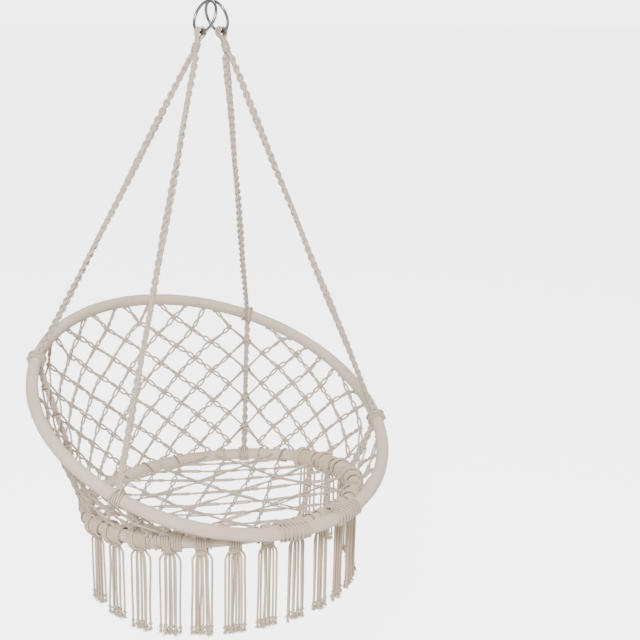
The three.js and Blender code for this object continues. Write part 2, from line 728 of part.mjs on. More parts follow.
// The seat net: cords in two slants, knotted where they cross
function addSeatNet(name) {
  const net = new Net();
  const last = SEAT_LOOP_SHARES.length - 1;
  const ends = new Map();
  const flatOf = (point) => new THREE.Vector2(
    point.clone().sub(seat.centre).dot(seat.tangent(0)),
    point.clone().sub(seat.centre).dot(seat.outward(0)),
  );
  const inner = seat.radius - LOOP_RIDGE_RADIUS - CORD_PAST_LOOP;
  const raised = (flat) => {
    const sag = SEAT_SAG * (1 - flat.lengthSq() / (inner * inner));
    return seat.centre
      .clone()
      .addScaledVector(seat.tangent(0), flat.x)
      .addScaledVector(seat.outward(0), flat.y)
      .addScaledVector(seat.normal(), -sag);
  };

  function endAt(number) {
    const turn = ((number + last) % (2 * last) + 2 * last) % (2 * last) - last;
    const key = turn === -last ? last : turn;
    if (!ends.has(key)) {
      const angle = Math.sign(key) * SEAT_LOOP_SHARES[Math.abs(key)] * Math.PI;
      const id = net.loop(seat, angle, seat.outward(angle).negate(), seat.normal());
      ends.set(key, { id, flat: flatOf(net.knots[id].place) });
    }
    return ends.get(key);
  }

  const cordsOf = (way) => {
    const cords = [];
    // A cord between two loops side by side would lie along the hoop, so there is none.
    for (let low = Math.floor(SEAT_CORD_SLANT / 2) - 1; SEAT_CORD_SLANT - 2 * low < 2 * last - 1; low--) {
      cords.push({ ends: [endAt(way * low), endAt(way * (SEAT_CORD_SLANT - low))], knots: [] });
    }
    return cords;
  };
  const [ones, others] = [cordsOf(1), cordsOf(-1)];
  for (const one of ones) {
    for (const other of others) {
      const [a, b] = one.ends.map((end) => end.flat);
      const [c, d] = other.ends.map((end) => end.flat);
      const [r, q, p] = [b.clone().sub(a), d.clone().sub(c), c.clone().sub(a)];
      const share = p.cross(q) / r.cross(q);
      const otherShare = p.cross(r) / r.cross(q);
      if (Math.min(share, otherShare, 1 - share, 1 - otherShare) < 1e-6) continue;
      const id = net.knot(raised(a.clone().addScaledVector(r, share)), seat.normal());
      one.knots.push([share, id]);
      other.knots.push([otherShare, id]);
    }
  }
  for (const cord of [...ones, ...others]) {
    const along = cord.knots.sort((a, b) => a[0] - b[0]).map((knot) => knot[1]);
    const path = [cord.ends[0].id, ...along, cord.ends[1].id];
    for (let i = 0; i + 1 < path.length; i++) net.link(path[i], path[i + 1]);
  }
  addPiece(name, net.geometry(), CORD);
}

// A tassel: a loop on the seat hoop, a knotted head and cords with a knot near each tip
function addTassel(name, angle, dropShare) {
  const centre = seat.at(angle);
  const across = new THREE.Vector3(Math.cos(angle), Math.sin(angle), 0);
  const ahead = new THREE.Vector3(Math.sin(angle), -Math.cos(angle), 0);
  const place = (x, y, z) =>
    centre
      .clone()
      .addScaledVector(across, x)
      .addScaledVector(ahead, y)
      .add(new THREE.Vector3(0, 0, z));
  const surface = new Surface();
  const down = new THREE.Vector3(0, 0, -1);
  const { a, b } = loopRound(surface, seat, angle, down, TASSEL_LOOP_WIDTH, TASSEL_GAP);
  const row = (y) =>
    Array.from({ length: TASSEL_CORDS + 1 }, (_, i) => {
      const x = TASSEL_HEAD_WIDTH * (0.5 - i / TASSEL_CORDS);
      return surface.point(place(x, y, -TASSEL_HEAD_DROP));
    });
  const front = row(TASSEL_HEAD_DEPTH / 2);
  const back = row(-TASSEL_HEAD_DEPTH / 2);
  const [first, last] = [0, TASSEL_CORDS];
  surface.polygon(a[0], a[1], front[1]);
  surface.polygon(a[0], front[1], front[first]);
  surface.polygon(a[1], a[2], front[last - 1]);
  surface.polygon(a[2], front[last], front[last - 1]);
  surface.polygon(a[2], b[2], back[last], front[last]);
  surface.polygon(b[2], b[1], back[last - 1]);
  surface.polygon(b[2], back[last - 1], back[last]);
  surface.polygon(b[1], b[0], back[1]);
  surface.polygon(b[0], back[first], back[1]);
  surface.polygon(b[0], a[0], front[first], back[first]);
  for (let i = 1; i < last - 1; i++) {
    surface.polygon(a[1], front[i + 1], front[i]);
    surface.polygon(b[1], back[i], back[i + 1]);
  }
  const tip = TASSEL_DROP * dropShare;
  const knot = tip - TASSEL_TIP_LENGTH;
  const thin = TASSEL_CORD_DIAMETER / 2;
  const stops = [
    [knot - TASSEL_KNOT_LENGTH, thin],
    [knot, TASSEL_KNOT_DIAMETER / 2],
    [tip, thin],
  ];
  for (let i = 0; i < TASSEL_CORDS; i++) {
    const x = TASSEL_SPREAD * (0.5 - i / (TASSEL_CORDS - 1));
    const y = (i % 2 ? -0.5 : 0.5) * TASSEL_DEPTH;
    const corners = [
      [1, 1],
      [-1, 1],
      [-1, -1],
      [1, -1],
    ];
    const rings = stops.map(([z, half]) =>
      corners.map(([u, v]) => surface.point(place(x + u * half, y + v * half, -z))),
    );
    rings.unshift([front[i], front[i + 1], back[i + 1], back[i]]);
    surface.walls(rings, false);
    surface.polygon(...rings[rings.length - 1]);
  }
  addPiece(name, surface.geometry(), FRINGE);
}

addHoop("rim_hoop", rim);
addHoop("seat_hoop", seat);
for (const [sideName, side] of [
  ["left", -1],
  ["right", 1],
]) {
  addRing(`${sideName}_ring`, side);
  addEye(`${sideName}_rope_eye`, side);
  addNeckWrap(`${sideName}_neck_wrap`, side);
  addSlings(sideName, side);
}
addNetPanel("back_net", REAR_TIE_ANGLE, 2 * Math.PI - REAR_TIE_ANGLE, BACK_COLUMNS);
addNetPanel("right_net", FRONT_TIE_ANGLE, REAR_TIE_ANGLE, SIDE_COLUMNS);
addNetPanel("left_net", -REAR_TIE_ANGLE, -FRONT_TIE_ANGLE, SIDE_COLUMNS);
addNetPanel("front_right_net", 0, FRONT_TIE_ANGLE, FRONT_COLUMNS / 2);
addNetPanel("front_left_net", -FRONT_TIE_ANGLE, 0, FRONT_COLUMNS / 2);
addSeatNet("seat_net");
addLashing("right_lashing", LASHING_ANGLE);
addLashing("left_lashing", -LASHING_ANGLE);
const FRONT_COLUMN = (2 * FRONT_TIE_ANGLE) / FRONT_COLUMNS;
const SIDE_COLUMN = (REAR_TIE_ANGLE - FRONT_TIE_ANGLE) / SIDE_COLUMNS;
TASSEL_DROP_SHARES.forEach((dropShare, i) => {
  const beside = i - FRONT_COLUMNS / 2;
  const angle =
    beside < 0 ? (i + 0.5) * FRONT_COLUMN : FRONT_TIE_ANGLE + (beside + 0.5) * SIDE_COLUMN;
  addTassel(`right_tassel_${i + 1}`, angle, dropShare);
  addTassel(`left_tassel_${i + 1}`, -angle, dropShare);
});

console.log("least winding gaps in mm: " + windingGaps.join(", "));

export default chair;
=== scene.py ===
"""Looks of the hanging macrame chair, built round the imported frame.

Lengths are in metres in the frame of the part: +Z up, the open front towards -Y, and the
origin where a hook bears on the two rings. Angles round a hoop run from the front towards +X.
"""

import logging
import math
from dataclasses import dataclass, field
from enum import Enum
from typing import NamedTuple

import bpy
import numpy as np
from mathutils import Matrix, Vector


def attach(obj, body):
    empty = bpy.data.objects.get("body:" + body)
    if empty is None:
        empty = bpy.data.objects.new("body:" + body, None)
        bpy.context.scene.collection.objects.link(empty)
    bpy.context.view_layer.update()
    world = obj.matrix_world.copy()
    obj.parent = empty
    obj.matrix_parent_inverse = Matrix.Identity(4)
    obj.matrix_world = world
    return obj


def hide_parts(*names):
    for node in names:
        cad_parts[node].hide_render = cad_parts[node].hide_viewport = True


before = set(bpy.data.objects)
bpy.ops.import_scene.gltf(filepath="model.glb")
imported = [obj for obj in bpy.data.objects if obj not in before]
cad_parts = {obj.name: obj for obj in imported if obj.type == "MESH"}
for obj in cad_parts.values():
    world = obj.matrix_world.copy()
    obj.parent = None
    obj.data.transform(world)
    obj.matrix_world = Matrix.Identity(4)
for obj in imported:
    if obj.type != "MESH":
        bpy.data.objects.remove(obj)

Array = np.ndarray
Colour = tuple[float, float, float, float]
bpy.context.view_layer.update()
LOG = logging.getLogger("macrame_chair")
TURN = 2 * math.pi
UV_NAME = "cord_uv"
TONE_NAME = "tone"
# Added to an up vector, so that it never runs along the path of a tube.
NUDGE = 1e-3
# A vector that no rope runs along.
ASIDE = np.array([0.3, 1.0, 0.1])


class Body(Enum):
    """The bodies that the pieces ride on, apart from the tassels' own."""

    RINGS = "rings"
    CHAIR = "chair"


class Slot(Enum):
    """The material slots of the record."""

    RING_STEEL = "ring_steel"
    HOOP_STEEL = "hoop_steel"
    SLEEVE_FABRIC = "sleeve_fabric"
    COTTON_CORD = "cotton_cord"
    TASSEL_CORD = "tassel_cord"


class Side(Enum):
    """The two halves of the chair, with the sign of X on each."""

    LEFT = -1
    RIGHT = 1


# Vectors


def unit(v: Array) -> Array:
    """Scale vectors to length one.

    Args:
        v: Vectors along the last axis.

    Returns:
        The same directions with length one.
    """
    return v / np.maximum(np.linalg.norm(v, axis=-1, keepdims=True), 1e-12)


def across_of(v: Array, axis: Array) -> Array:
    """Take away the share of v that runs along a unit axis, and scale to length one.

    Args:
        v: Vectors along the last axis.
        axis: Unit vectors that broadcast against v.

    Returns:
        Unit vectors square to the axis.
    """
    return unit(v - (v * axis).sum(-1, keepdims=True) * axis)


def ease(x: Array) -> Array:
    """Smooth step, 3x^2 - 2x^3 with x held between 0 and 1."""
    x = np.clip(x, 0, 1)
    return x * x * (3 - 2 * x)


# Meshes


class Skin:
    """The surface of one piece, gathered from swept tubes."""

    cap_round = 0.45

    def __init__(self, seed: int) -> None:
        """Start empty.

        Args:
            seed: Seed of the small variations from tube to tube.
        """
        self.rng = np.random.default_rng(seed)
        self.points: list[Array] = []
        self.tones: list[Array] = []
        self.corners: list[Array] = []
        self.sizes: list[Array] = []
        self.uvs: list[Array] = []
        self.count = 0

    def grid(self, points: Array, u: Array, closed: bool, tone: float | Array, caps: bool) -> None:
        """Add tubes that are given as grids of points.

        Each quad joins ring i, i + 1 and side j, j + 1, so that its normal, the way round
        crossed with the way along, points out of the tube. A cap is a fan about one pole,
        which stands out from the last ring by a share of its radius.

        Args:
            points: Shape (tubes, rings, sides, 3), sides anticlockwise about the way along.
            u: Distance along each tube at each ring, shape (tubes, rings).
            closed: Whether the last ring joins the first.
            tone: Shade of each tube, as the cord's finish reads it.
            caps: Whether the open ends get a rounded cap.
        """
        tubes, rings, sides, _ = points.shape
        first = self.count + np.arange(tubes * rings * sides).reshape(tubes, rings, sides)
        near = first if closed else first[:, :-1]
        far = np.roll(first, -1, 1) if closed else first[:, 1:]
        quads = np.stack([near, np.roll(near, -1, 2), np.roll(far, -1, 2), far], -1)
        length = np.full((tubes, 1), u[:, -1:] + (u[:, 1:2] - u[:, :1])) if closed else u[:, :0]
        stops = np.concatenate([u, length], 1)
        low = np.broadcast_to(stops[:, :-1, None], near.shape)
        high = np.broadcast_to(stops[:, 1:, None], near.shape)
        left = np.broadcast_to(np.arange(sides) / sides, near.shape)
        right = left + 1 / sides
        uv = np.stack([low, left, low, right, high, right, high, left], -1)
        tones = np.broadcast_to(np.asarray(tone, float).reshape(-1), (tubes,))
        shade = np.repeat(tones, rings * sides)
        self._store(points.reshape(-1, 3), shade, quads.reshape(-1, 4), uv)
        if closed or not caps:
            return
        for ring, inner, last in ((0, 1, False), (-1, -2, True)):
            middle = points[:, ring].mean(1)
            out = unit(middle - points[:, inner].mean(1))
            reach = np.linalg.norm(points[:, ring, 0] - middle, axis=-1, keepdims=True)
            pole = self.count + np.arange(tubes)
            edge = first[:, ring]
            beside = np.roll(edge, -1, 1)
            trio = (edge, beside) if last else (beside, edge)
            faces = np.stack([np.broadcast_to(pole[:, None], edge.shape), *trio], -1)
            flat = np.zeros((tubes, sides, 6))
            flat[..., 0::2] = u[:, ring][:, None, None]
            flat[..., 1::2] = (np.arange(sides) / sides)[None, :, None]
            self._store(middle + out * reach * self.cap_round, tones, faces.reshape(-1, 3), flat)

    def _store(self, points: Array, tones: Array, faces: Array, uv: Array) -> None:
        """Keep points and the faces between them.

        Args:
            points: New points, shape (n, 3).
            tones: Shade of each point.
            faces: Numbers of the points of each face, all with as many corners.
            uv: Distance along and turns round at each corner.
        """
        self.points.append(np.asarray(points, np.float32))
        self.tones.append(np.asarray(tones, np.float32))
        self.corners.append(faces.reshape(-1))
        self.sizes.append(np.full(len(faces), faces.shape[1]))
        self.uvs.append(np.asarray(uv, np.float32).reshape(-1, 2))
        self.count += len(points)

    def tubes(
        self,
        paths: Array,
        ups: Array,
        radius: float | Array,
        sides: int = 8,
        closed: bool = False,
        caps: bool = True,
        tone: float | Array | None = None,
    ) -> None:
        """Sweep a round section along paths.

        A point lies at path + radius * (cos(a) * side + sin(a) * (way x side)), where side is
        the up vector made square to the way along the path.

        Args:
            paths: Shape (tubes, rings, 3), or (rings, 3) for one tube.
            ups: Vectors that broadcast against paths, never along the path.
            radius: One value, or values that broadcast against (tubes, rings).
            sides: Number of flats round the section.
            closed: Whether each path is a closed loop.
            caps: Whether open ends are closed by a rounded cap.
            tone: Shade of each tube, or none for one from 0 to 1 at random.
        """
        paths = paths if paths.ndim == 3 else paths[None]
        if closed:
            ways = unit(np.roll(paths, -1, 1) - np.roll(paths, 1, 1))
        else:
            ways = unit(np.gradient(paths, axis=1))
        side = across_of(np.broadcast_to(ups, paths.shape), ways)
        other = np.cross(ways, side)
        turn = TURN * np.arange(sides) / sides
        reach = np.broadcast_to(np.asarray(radius, float), paths.shape[:2])[..., None, None]
        ring = side[:, :, None] * np.cos(turn)[:, None] + other[:, :, None] * np.sin(turn)[:, None]
        steps = np.linalg.norm(np.diff(paths, axis=1), axis=-1)
        u = np.concatenate([np.zeros((len(paths), 1)), np.cumsum(steps, 1)], 1)
        u = u + self.rng.uniform(0, 1, (len(paths), 1))
        if tone is None:
            tone = self.rng.uniform(0, 1, len(paths))
        self.grid(paths[:, :, None] + reach * ring, u, closed, tone, caps)

    def mesh(self, name: str) -> bpy.types.Object:
        """Make the object of everything gathered so far.

        Args:
            name: The object's name.

        Returns:
            A smooth-shaded mesh object at the origin, with its UV map and tone attribute.
        """
        data = bpy.data.meshes.new(name)
        points = np.concatenate(self.points)
        corners = np.concatenate(self.corners).astype(np.int32)
        sizes = np.concatenate(self.sizes)
        data.vertices.add(len(points))
        data.vertices.foreach_set("co", points.reshape(-1))
        data.loops.add(len(corners))
        data.loops.foreach_set("vertex_index", corners)
        data.polygons.add(len(sizes))
        starts = np.concatenate([[0], np.cumsum(sizes)[:-1]]).astype(np.int32)
        data.polygons.foreach_set("loop_start", starts)
        data.update(calc_edges=True)
        data.polygons.foreach_set("use_smooth", np.ones(len(sizes), bool))
        uv = data.uv_layers.new(name=UV_NAME)
        uv.data.foreach_set("uv", np.concatenate(self.uvs).reshape(-1))
        tone = data.attributes.new(TONE_NAME, "FLOAT", "POINT")
        tone.data.foreach_set("value", np.concatenate(self.tones))
        data.update()
        item = bpy.data.objects.new(name, data)
        bpy.context.scene.collection.objects.link(item)
        return item


# Materials


class Graph:
    """A short way to write a material's node tree."""

    def __init__(self, name: str) -> None:
        """Make a material that holds a Principled shader.

        Args:
            name: The material's name.
        """
        self.material = bpy.data.materials.new(name)
        self.material.use_nodes = True
        self.tree = self.material.node_tree
        self.shader = self.tree.nodes["Principled BSDF"]

    def node(self, kind: str, inputs: dict | None = None, **settings: object) -> bpy.types.Node:
        """Add a node.

        Args:
            kind: The node's type name after "ShaderNode".
            inputs: Values or output sockets by input name or number.
            settings: Attributes of the node.

        Returns:
            The node.
        """
        made = self.tree.nodes.new("ShaderNode" + kind)
        for key, value in settings.items():
            setattr(made, key, value)
        for key, value in (inputs or {}).items():
            self.join(value, made.inputs[key])
        return made

    def join(self, value: object, socket: bpy.types.NodeSocket) -> None:
        """Link an output socket to an input, or set the input's own value.

        Args:
            value: An output socket or a plain value.
            socket: The input.
        """
        if isinstance(value, bpy.types.NodeSocket):
            self.tree.links.new(value, socket)
        else:
            socket.default_value = value

    def math(
        self, operation: str, a: object, b: object = 0.0, c: object = 0.0
    ) -> bpy.types.NodeSocket:
        """Add a Math node on up to three values and return its output."""
        return self.node("Math", {0: a, 1: b, 2: c}, operation=operation).outputs[0]

    def mix(self, share: object, a: object, b: object) -> bpy.types.NodeSocket:
        """Mix two colours by a share; a Mix node has its colours at 6, 7 and output 2."""
        return self.node("Mix", {0: share, 6: a, 7: b}, data_type="RGBA").outputs[2]

    def noise(
        self, scale: float, detail: float = 2.0, place: object = None
    ) -> bpy.types.NodeSocket:
        """Add noise.

        Args:
            scale: Its scale, in periods to a metre on Object coordinates.
            detail: Its number of finer layers.
            place: Where it is read, or none for Object coordinates.

        Returns:
            Its value, from 0 to 1.
        """
        place = place or self.node("TexCoord").outputs["Object"]
        made = self.node("TexNoise", {"Vector": place, "Scale": scale, "Detail": detail})
        return made.outputs["Fac"]

    def relief(
        self, height: object, distance: float, strength: float = 1.0, under: object = None
    ) -> bpy.types.NodeSocket:
        """Add a Bump node.

        Args:
            height: The height, from 0 to 1.
            distance: What a height of one stands for, in metres.
            strength: Share of the effect.
            under: The normal of a coarser relief below this one.

        Returns:
            The normal.
        """
        inputs = {"Height": height, "Distance": distance, "Strength": strength}
        if under is not None:
            inputs["Normal"] = under
        return self.node("Bump", inputs).outputs["Normal"]

    def finished(
        self, colour: object, roughness: object, normal: object, **values: float
    ) -> bpy.types.Material:
        """Join a finish to the shader.

        Args:
            colour: The base colour.
            roughness: The roughness.
            normal: The normal.
            values: Plain values by input name, with _ for a space.

        Returns:
            The material.
        """
        self.join(colour, self.shader.inputs["Base Color"])
        self.join(roughness, self.shader.inputs["Roughness"])
        self.join(normal, self.shader.inputs["Normal"])
        for name, value in values.items():
            self.shader.inputs[name.replace("_", " ")].default_value = value
        return self.material


def rgb(red: float, green: float, blue: float) -> Colour:
    """A colour with full opacity, in linear light."""
    return (red, green, blue, 1.0)


@dataclass(frozen=True)
class CordFinish:
    """Matt cotton cord of several plies twisted together."""

    name: str
    slot: Slot
    pale: Colour
    warm: Colour
    # The shade colour is painted shade in the grooves between plies, and also the colour that
    # darker fibres lean to at random.
    shade: Colour
    lay: float = 0.011
    plies: int = 3
    relief: float = 0.0005
    relief_strength: float = 0.9
    ply_round: float = 0.55
    groove_painted_shade: float = 0.62
    fibre_scale: float = 1400.0
    fibre_dark: float = 0.22
    fibre_relief: float = 0.00018
    fibre_strength: float = 0.7
    patch_scale: float = 9.0
    patch_share: float = 0.6
    roughness: float = 0.84
    rougher: float = 0.12
    sheen: float = 0.18
    specular: float = 0.22

    def build(self) -> bpy.types.Material:
        """Make the material.

        The height over a ply is |sin(pi * (plies * v - plies * u / lay))|, with u in metres
        along the cord and v in turns round it. The grooves between plies get painted shade, a mix
        towards the shade colour. A tone from 0 to 1 goes from pale to warm, and a tone of -1 is
        for pale, untwisted fibres, which get no painted groove shade.

        Returns:
            The material.
        """
        g = Graph(self.name)
        split = g.node("SeparateXYZ", {0: g.node("UVMap", uv_map=UV_NAME).outputs[0]})
        along = g.math("MULTIPLY", split.outputs[0], -self.plies / self.lay)
        phase = g.math("MULTIPLY_ADD", split.outputs[1], float(self.plies), along)
        ply = g.math("ABSOLUTE", g.math("SINE", g.math("MULTIPLY", phase, math.pi)))
        ply = g.math("POWER", ply, self.ply_round)
        tone = g.node("Attribute", attribute_name=TONE_NAME).outputs["Fac"]
        fibre = g.noise(self.fibre_scale, 3.0)
        patch = g.noise(self.patch_scale, 3.0)
        twisted = g.math("MINIMUM", g.math("ADD", tone, 1.0), 1.0)
        own = g.math("MULTIPLY", tone, 1 - self.patch_share)
        worn = g.math("MULTIPLY_ADD", patch, self.patch_share, own)
        # Painted shade: the grooves between plies are mixed towards the shade colour.
        groove = g.math("MULTIPLY_ADD", ply, -self.groove_painted_shade, self.groove_painted_shade)
        body = g.mix(worn, self.pale, self.warm)
        body = g.mix(g.math("MULTIPLY", groove, twisted), body, self.shade)
        body = g.mix(g.math("MULTIPLY", fibre, self.fibre_dark), body, self.shade)
        fuzz = g.relief(fibre, self.fibre_relief, self.fibre_strength)
        return g.finished(
            body,
            g.math("MULTIPLY_ADD", fibre, self.rougher, self.roughness),
            g.relief(ply, self.relief, self.relief_strength, fuzz),
            Sheen_Weight=self.sheen,
            Specular_IOR_Level=self.specular,
        )


@dataclass(frozen=True)
class SleeveFinish:
    """Closely knitted cotton cloth stretched over a padded bar."""

    name: str
    slot: Slot
    pale: Colour
    warm: Colour
    # The shade colour is painted shade in the gaps between the knit's loops.
    shade: Colour
    rib: float = 0.0011
    course: float = 0.0013
    girth: float = 0.0817
    knit_painted_shade: float = 0.3
    patch_scale: float = 7.0
    patch_share: float = 0.7
    blotch_scale: float = 60.0
    knit_relief: float = 0.00022
    knit_strength: float = 0.8
    crease_stretch: tuple = (140.0, 1.2, 1.0)
    crease_relief: float = 0.0009
    crease_strength: float = 0.55
    roughness: float = 0.84
    rougher: float = 0.1
    sheen: float = 0.2
    specular: float = 0.2

    def build(self) -> bpy.types.Material:
        """Make the material.

        The knit is |sin| of the distance round the hoop by |sin| of the distance along it,
        and soft creases run round the hoop where the cloth is gathered. The gaps between the
        knit's loops get painted shade, a mix towards the shade colour.

        Returns:
            The material.
        """
        g = Graph(self.name)
        uv = g.node("UVMap", uv_map=UV_NAME).outputs[0]
        split = g.node("SeparateXYZ", {0: uv})
        rows = g.math("SINE", g.math("MULTIPLY", split.outputs[0], math.pi / self.course))
        ribs = g.math("MULTIPLY", split.outputs[1], math.pi * self.girth / self.rib)
        ribs = g.math("SINE", ribs)
        knit = g.math("MULTIPLY", g.math("ABSOLUTE", rows), g.math("ABSOLUTE", ribs))
        patch = g.noise(self.patch_scale, 3.0)
        blotch = g.noise(self.blotch_scale, 2.0)
        stretched = g.node("Mapping", {0: uv, "Scale": self.crease_stretch})
        crease = g.noise(1.0, 2.0, stretched.outputs[0])
        low = g.relief(crease, self.crease_relief, self.crease_strength)
        large = g.math("MULTIPLY", patch, self.patch_share)
        worn = g.math("MULTIPLY_ADD", blotch, 1 - self.patch_share, large)
        # Painted shade: the gaps of the knit are mixed towards the shade colour.
        gap = g.math("MULTIPLY_ADD", knit, -self.knit_painted_shade, self.knit_painted_shade)
        body = g.mix(gap, g.mix(worn, self.pale, self.warm), self.shade)
        return g.finished(
            body,
            g.math("MULTIPLY_ADD", blotch, self.rougher, self.roughness),
            g.relief(knit, self.knit_relief, self.knit_strength, low),
            Sheen_Weight=self.sheen,
            Specular_IOR_Level=self.specular,
        )


@dataclass(frozen=True)
class SteelFinish:
    """Bare steel with fine drawing marks, or a satin coat over it."""

    name: str
    slot: Slot
    bright: Colour
    dull: Colour
    rough: float
    metal: float = 1.0
    smudge_scale: float = 160.0
    mark_scale: float = 2600.0
    mark_relief: float = 0.00005
    mark_strength: float = 0.5
    rougher: float = 0.22

    def build(self) -> bpy.types.Material:
        """Make the material: smudges change colour and roughness, and fine marks the normal.

        Returns:
            The material.
        """
        g = Graph(self.name)
        smudge = g.noise(self.smudge_scale, 4.0)
        marks = g.noise(self.mark_scale, 2.0)
        return g.finished(
            g.mix(smudge, self.bright, self.dull),
            g.math("MULTIPLY_ADD", smudge, self.rougher, self.rough),
            g.relief(marks, self.mark_relief, self.mark_strength),
            Metallic=self.metal,
        )


Finish = CordFinish | SleeveFinish | SteelFinish

# In each cord finish, the shade colour is painted shade for the grooves between plies.
CORD_FINISH = CordFinish(
    "cotton_cord",
    Slot.COTTON_CORD,
    pale=rgb(0.66, 0.555, 0.45),
    warm=rgb(0.56, 0.445, 0.345),
    shade=rgb(0.25, 0.18, 0.125),
)
ROPE_FINISH = CordFinish(
    "rope_cord",
    Slot.COTTON_CORD,
    pale=rgb(0.64, 0.55, 0.46),
    warm=rgb(0.54, 0.44, 0.35),
    shade=rgb(0.28, 0.21, 0.155),
    lay=0.016,
)
TASSEL_FINISH = CordFinish(
    "tassel_cord",
    Slot.TASSEL_CORD,
    pale=rgb(0.67, 0.545, 0.405),
    warm=rgb(0.57, 0.445, 0.32),
    shade=rgb(0.28, 0.20, 0.13),
    lay=0.010,
)
# Its shade colour is painted shade for the gaps of the knit.
SLEEVE_FINISH = SleeveFinish(
    "sleeve_fabric",
    Slot.SLEEVE_FABRIC,
    pale=rgb(0.70, 0.595, 0.485),
    warm=rgb(0.61, 0.50, 0.39),
    shade=rgb(0.36, 0.285, 0.21),
)
THREAD_FINISH = CordFinish(
    "sewing_thread",
    Slot.SLEEVE_FABRIC,
    pale=rgb(0.64, 0.58, 0.5),
    warm=rgb(0.56, 0.49, 0.41),
    shade=rgb(0.34, 0.28, 0.22),
    lay=0.003,
    plies=2,
    relief=0.0001,
)
RING_FINISH = SteelFinish(
    "ring_steel",
    Slot.RING_STEEL,
    bright=rgb(0.31, 0.32, 0.33),
    dull=rgb(0.15, 0.16, 0.17),
    rough=0.2,
)
BAR_FINISH = SteelFinish(
    "hoop_steel",
    Slot.HOOP_STEEL,
    bright=rgb(0.08, 0.08, 0.085),
    dull=rgb(0.05, 0.05, 0.055),
    rough=0.4,
    metal=0.6,
)


class Wardrobe:
    """Builds each finish once and puts it on pieces."""

    def __init__(self) -> None:
        """Start with no material made."""
        self.made: dict[str, bpy.types.Material] = {}

    def material(self, finish: Finish) -> bpy.types.Material:
        """Find a finish's material, and build it on first use.

        Args:
            finish: The finish.

        Returns:
            Its material.
        """
        if finish.name not in self.made:
            self.made[finish.name] = finish.build()
        return self.made[finish.name]

    def dress(
        self, item: bpy.types.Object, finish: Finish, *nodes: str, body: str = Body.CHAIR.value
    ) -> bpy.types.Object:
        """Give a piece its material and body, and hide the nodes that it stands for.

        Args:
            item: The piece.
            finish: Its finish, which knows the record's slot.
            nodes: The nodes that it stands for.
            body: The body that it rides on.

        Returns:
            The piece.
        """
        item.data.materials.clear()
        item.data.materials.append(self.material(finish))
        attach(item, body)
        if nodes:
            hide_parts(*nodes)
        return item


# Hoops and ropes


@dataclass(frozen=True)
class Hoop:
    """The middle line of a hoop: radius, place and tilt of its plane about X."""

    radius: float
    back: float
    drop: float
    tilt: float

    def turned(self, x: Array, y: Array) -> Array:
        """Turn flat coordinates into the hoop's plane: y splits into y cos(tilt), y sin(tilt)."""
        return np.stack([x, y * math.cos(self.tilt), y * math.sin(self.tilt)], -1)

    def outward(self, angle: float | Array) -> Array:
        """Unit vectors from the middle out to the given angles."""
        angle = np.asarray(angle, float)
        return self.turned(np.sin(angle), -np.cos(angle))

    def tangent(self, angle: float | Array) -> Array:
        """Unit vectors along the hoop, the way that angles grow."""
        angle = np.asarray(angle, float)
        return self.turned(np.cos(angle), np.sin(angle))

    def normal(self) -> Array:
        """Unit vector square to the hoop's plane, upwards."""
        return np.array([0, -math.sin(self.tilt), math.cos(self.tilt)])

    def centre(self) -> Array:
        """The middle of the hoop."""
        return np.array([0, self.back, -self.drop])

    def point(self, angle: float | Array) -> Array:
        """Points of the middle line at the given angles."""
        return self.centre() + self.radius * self.outward(angle)


SLEEVE_RADIUS = 0.013
CORD_RADIUS = 0.0023
RIM = Hoop(radius=0.387, back=0.0, drop=0.836, tilt=math.radians(22.4))
SEAT = Hoop(radius=0.294, back=-0.033, drop=1.035, tilt=math.radians(-8.5))
FRONT_TIE = math.radians(63.5)
REAR_TIE = math.radians(131)


@dataclass(frozen=True)
class Slope:
    """The straight lines from the seat hoop up to the large hoop at given angles."""

    low: Array
    way: Array
    length: Array
    normal: Array

    @staticmethod
    def at(angle: float | Array) -> "Slope":
        """Find the lines at given angles.

        Args:
            angle: Angles round both hoops.

        Returns:
            The lines, with the outward normal of the net that lies in them.
        """
        low = SEAT.point(angle)
        gap = RIM.point(angle) - low
        length = np.linalg.norm(gap, axis=-1)
        way = unit(gap)
        return Slope(low, way, length, unit(np.cross(SEAT.tangent(angle), way)))


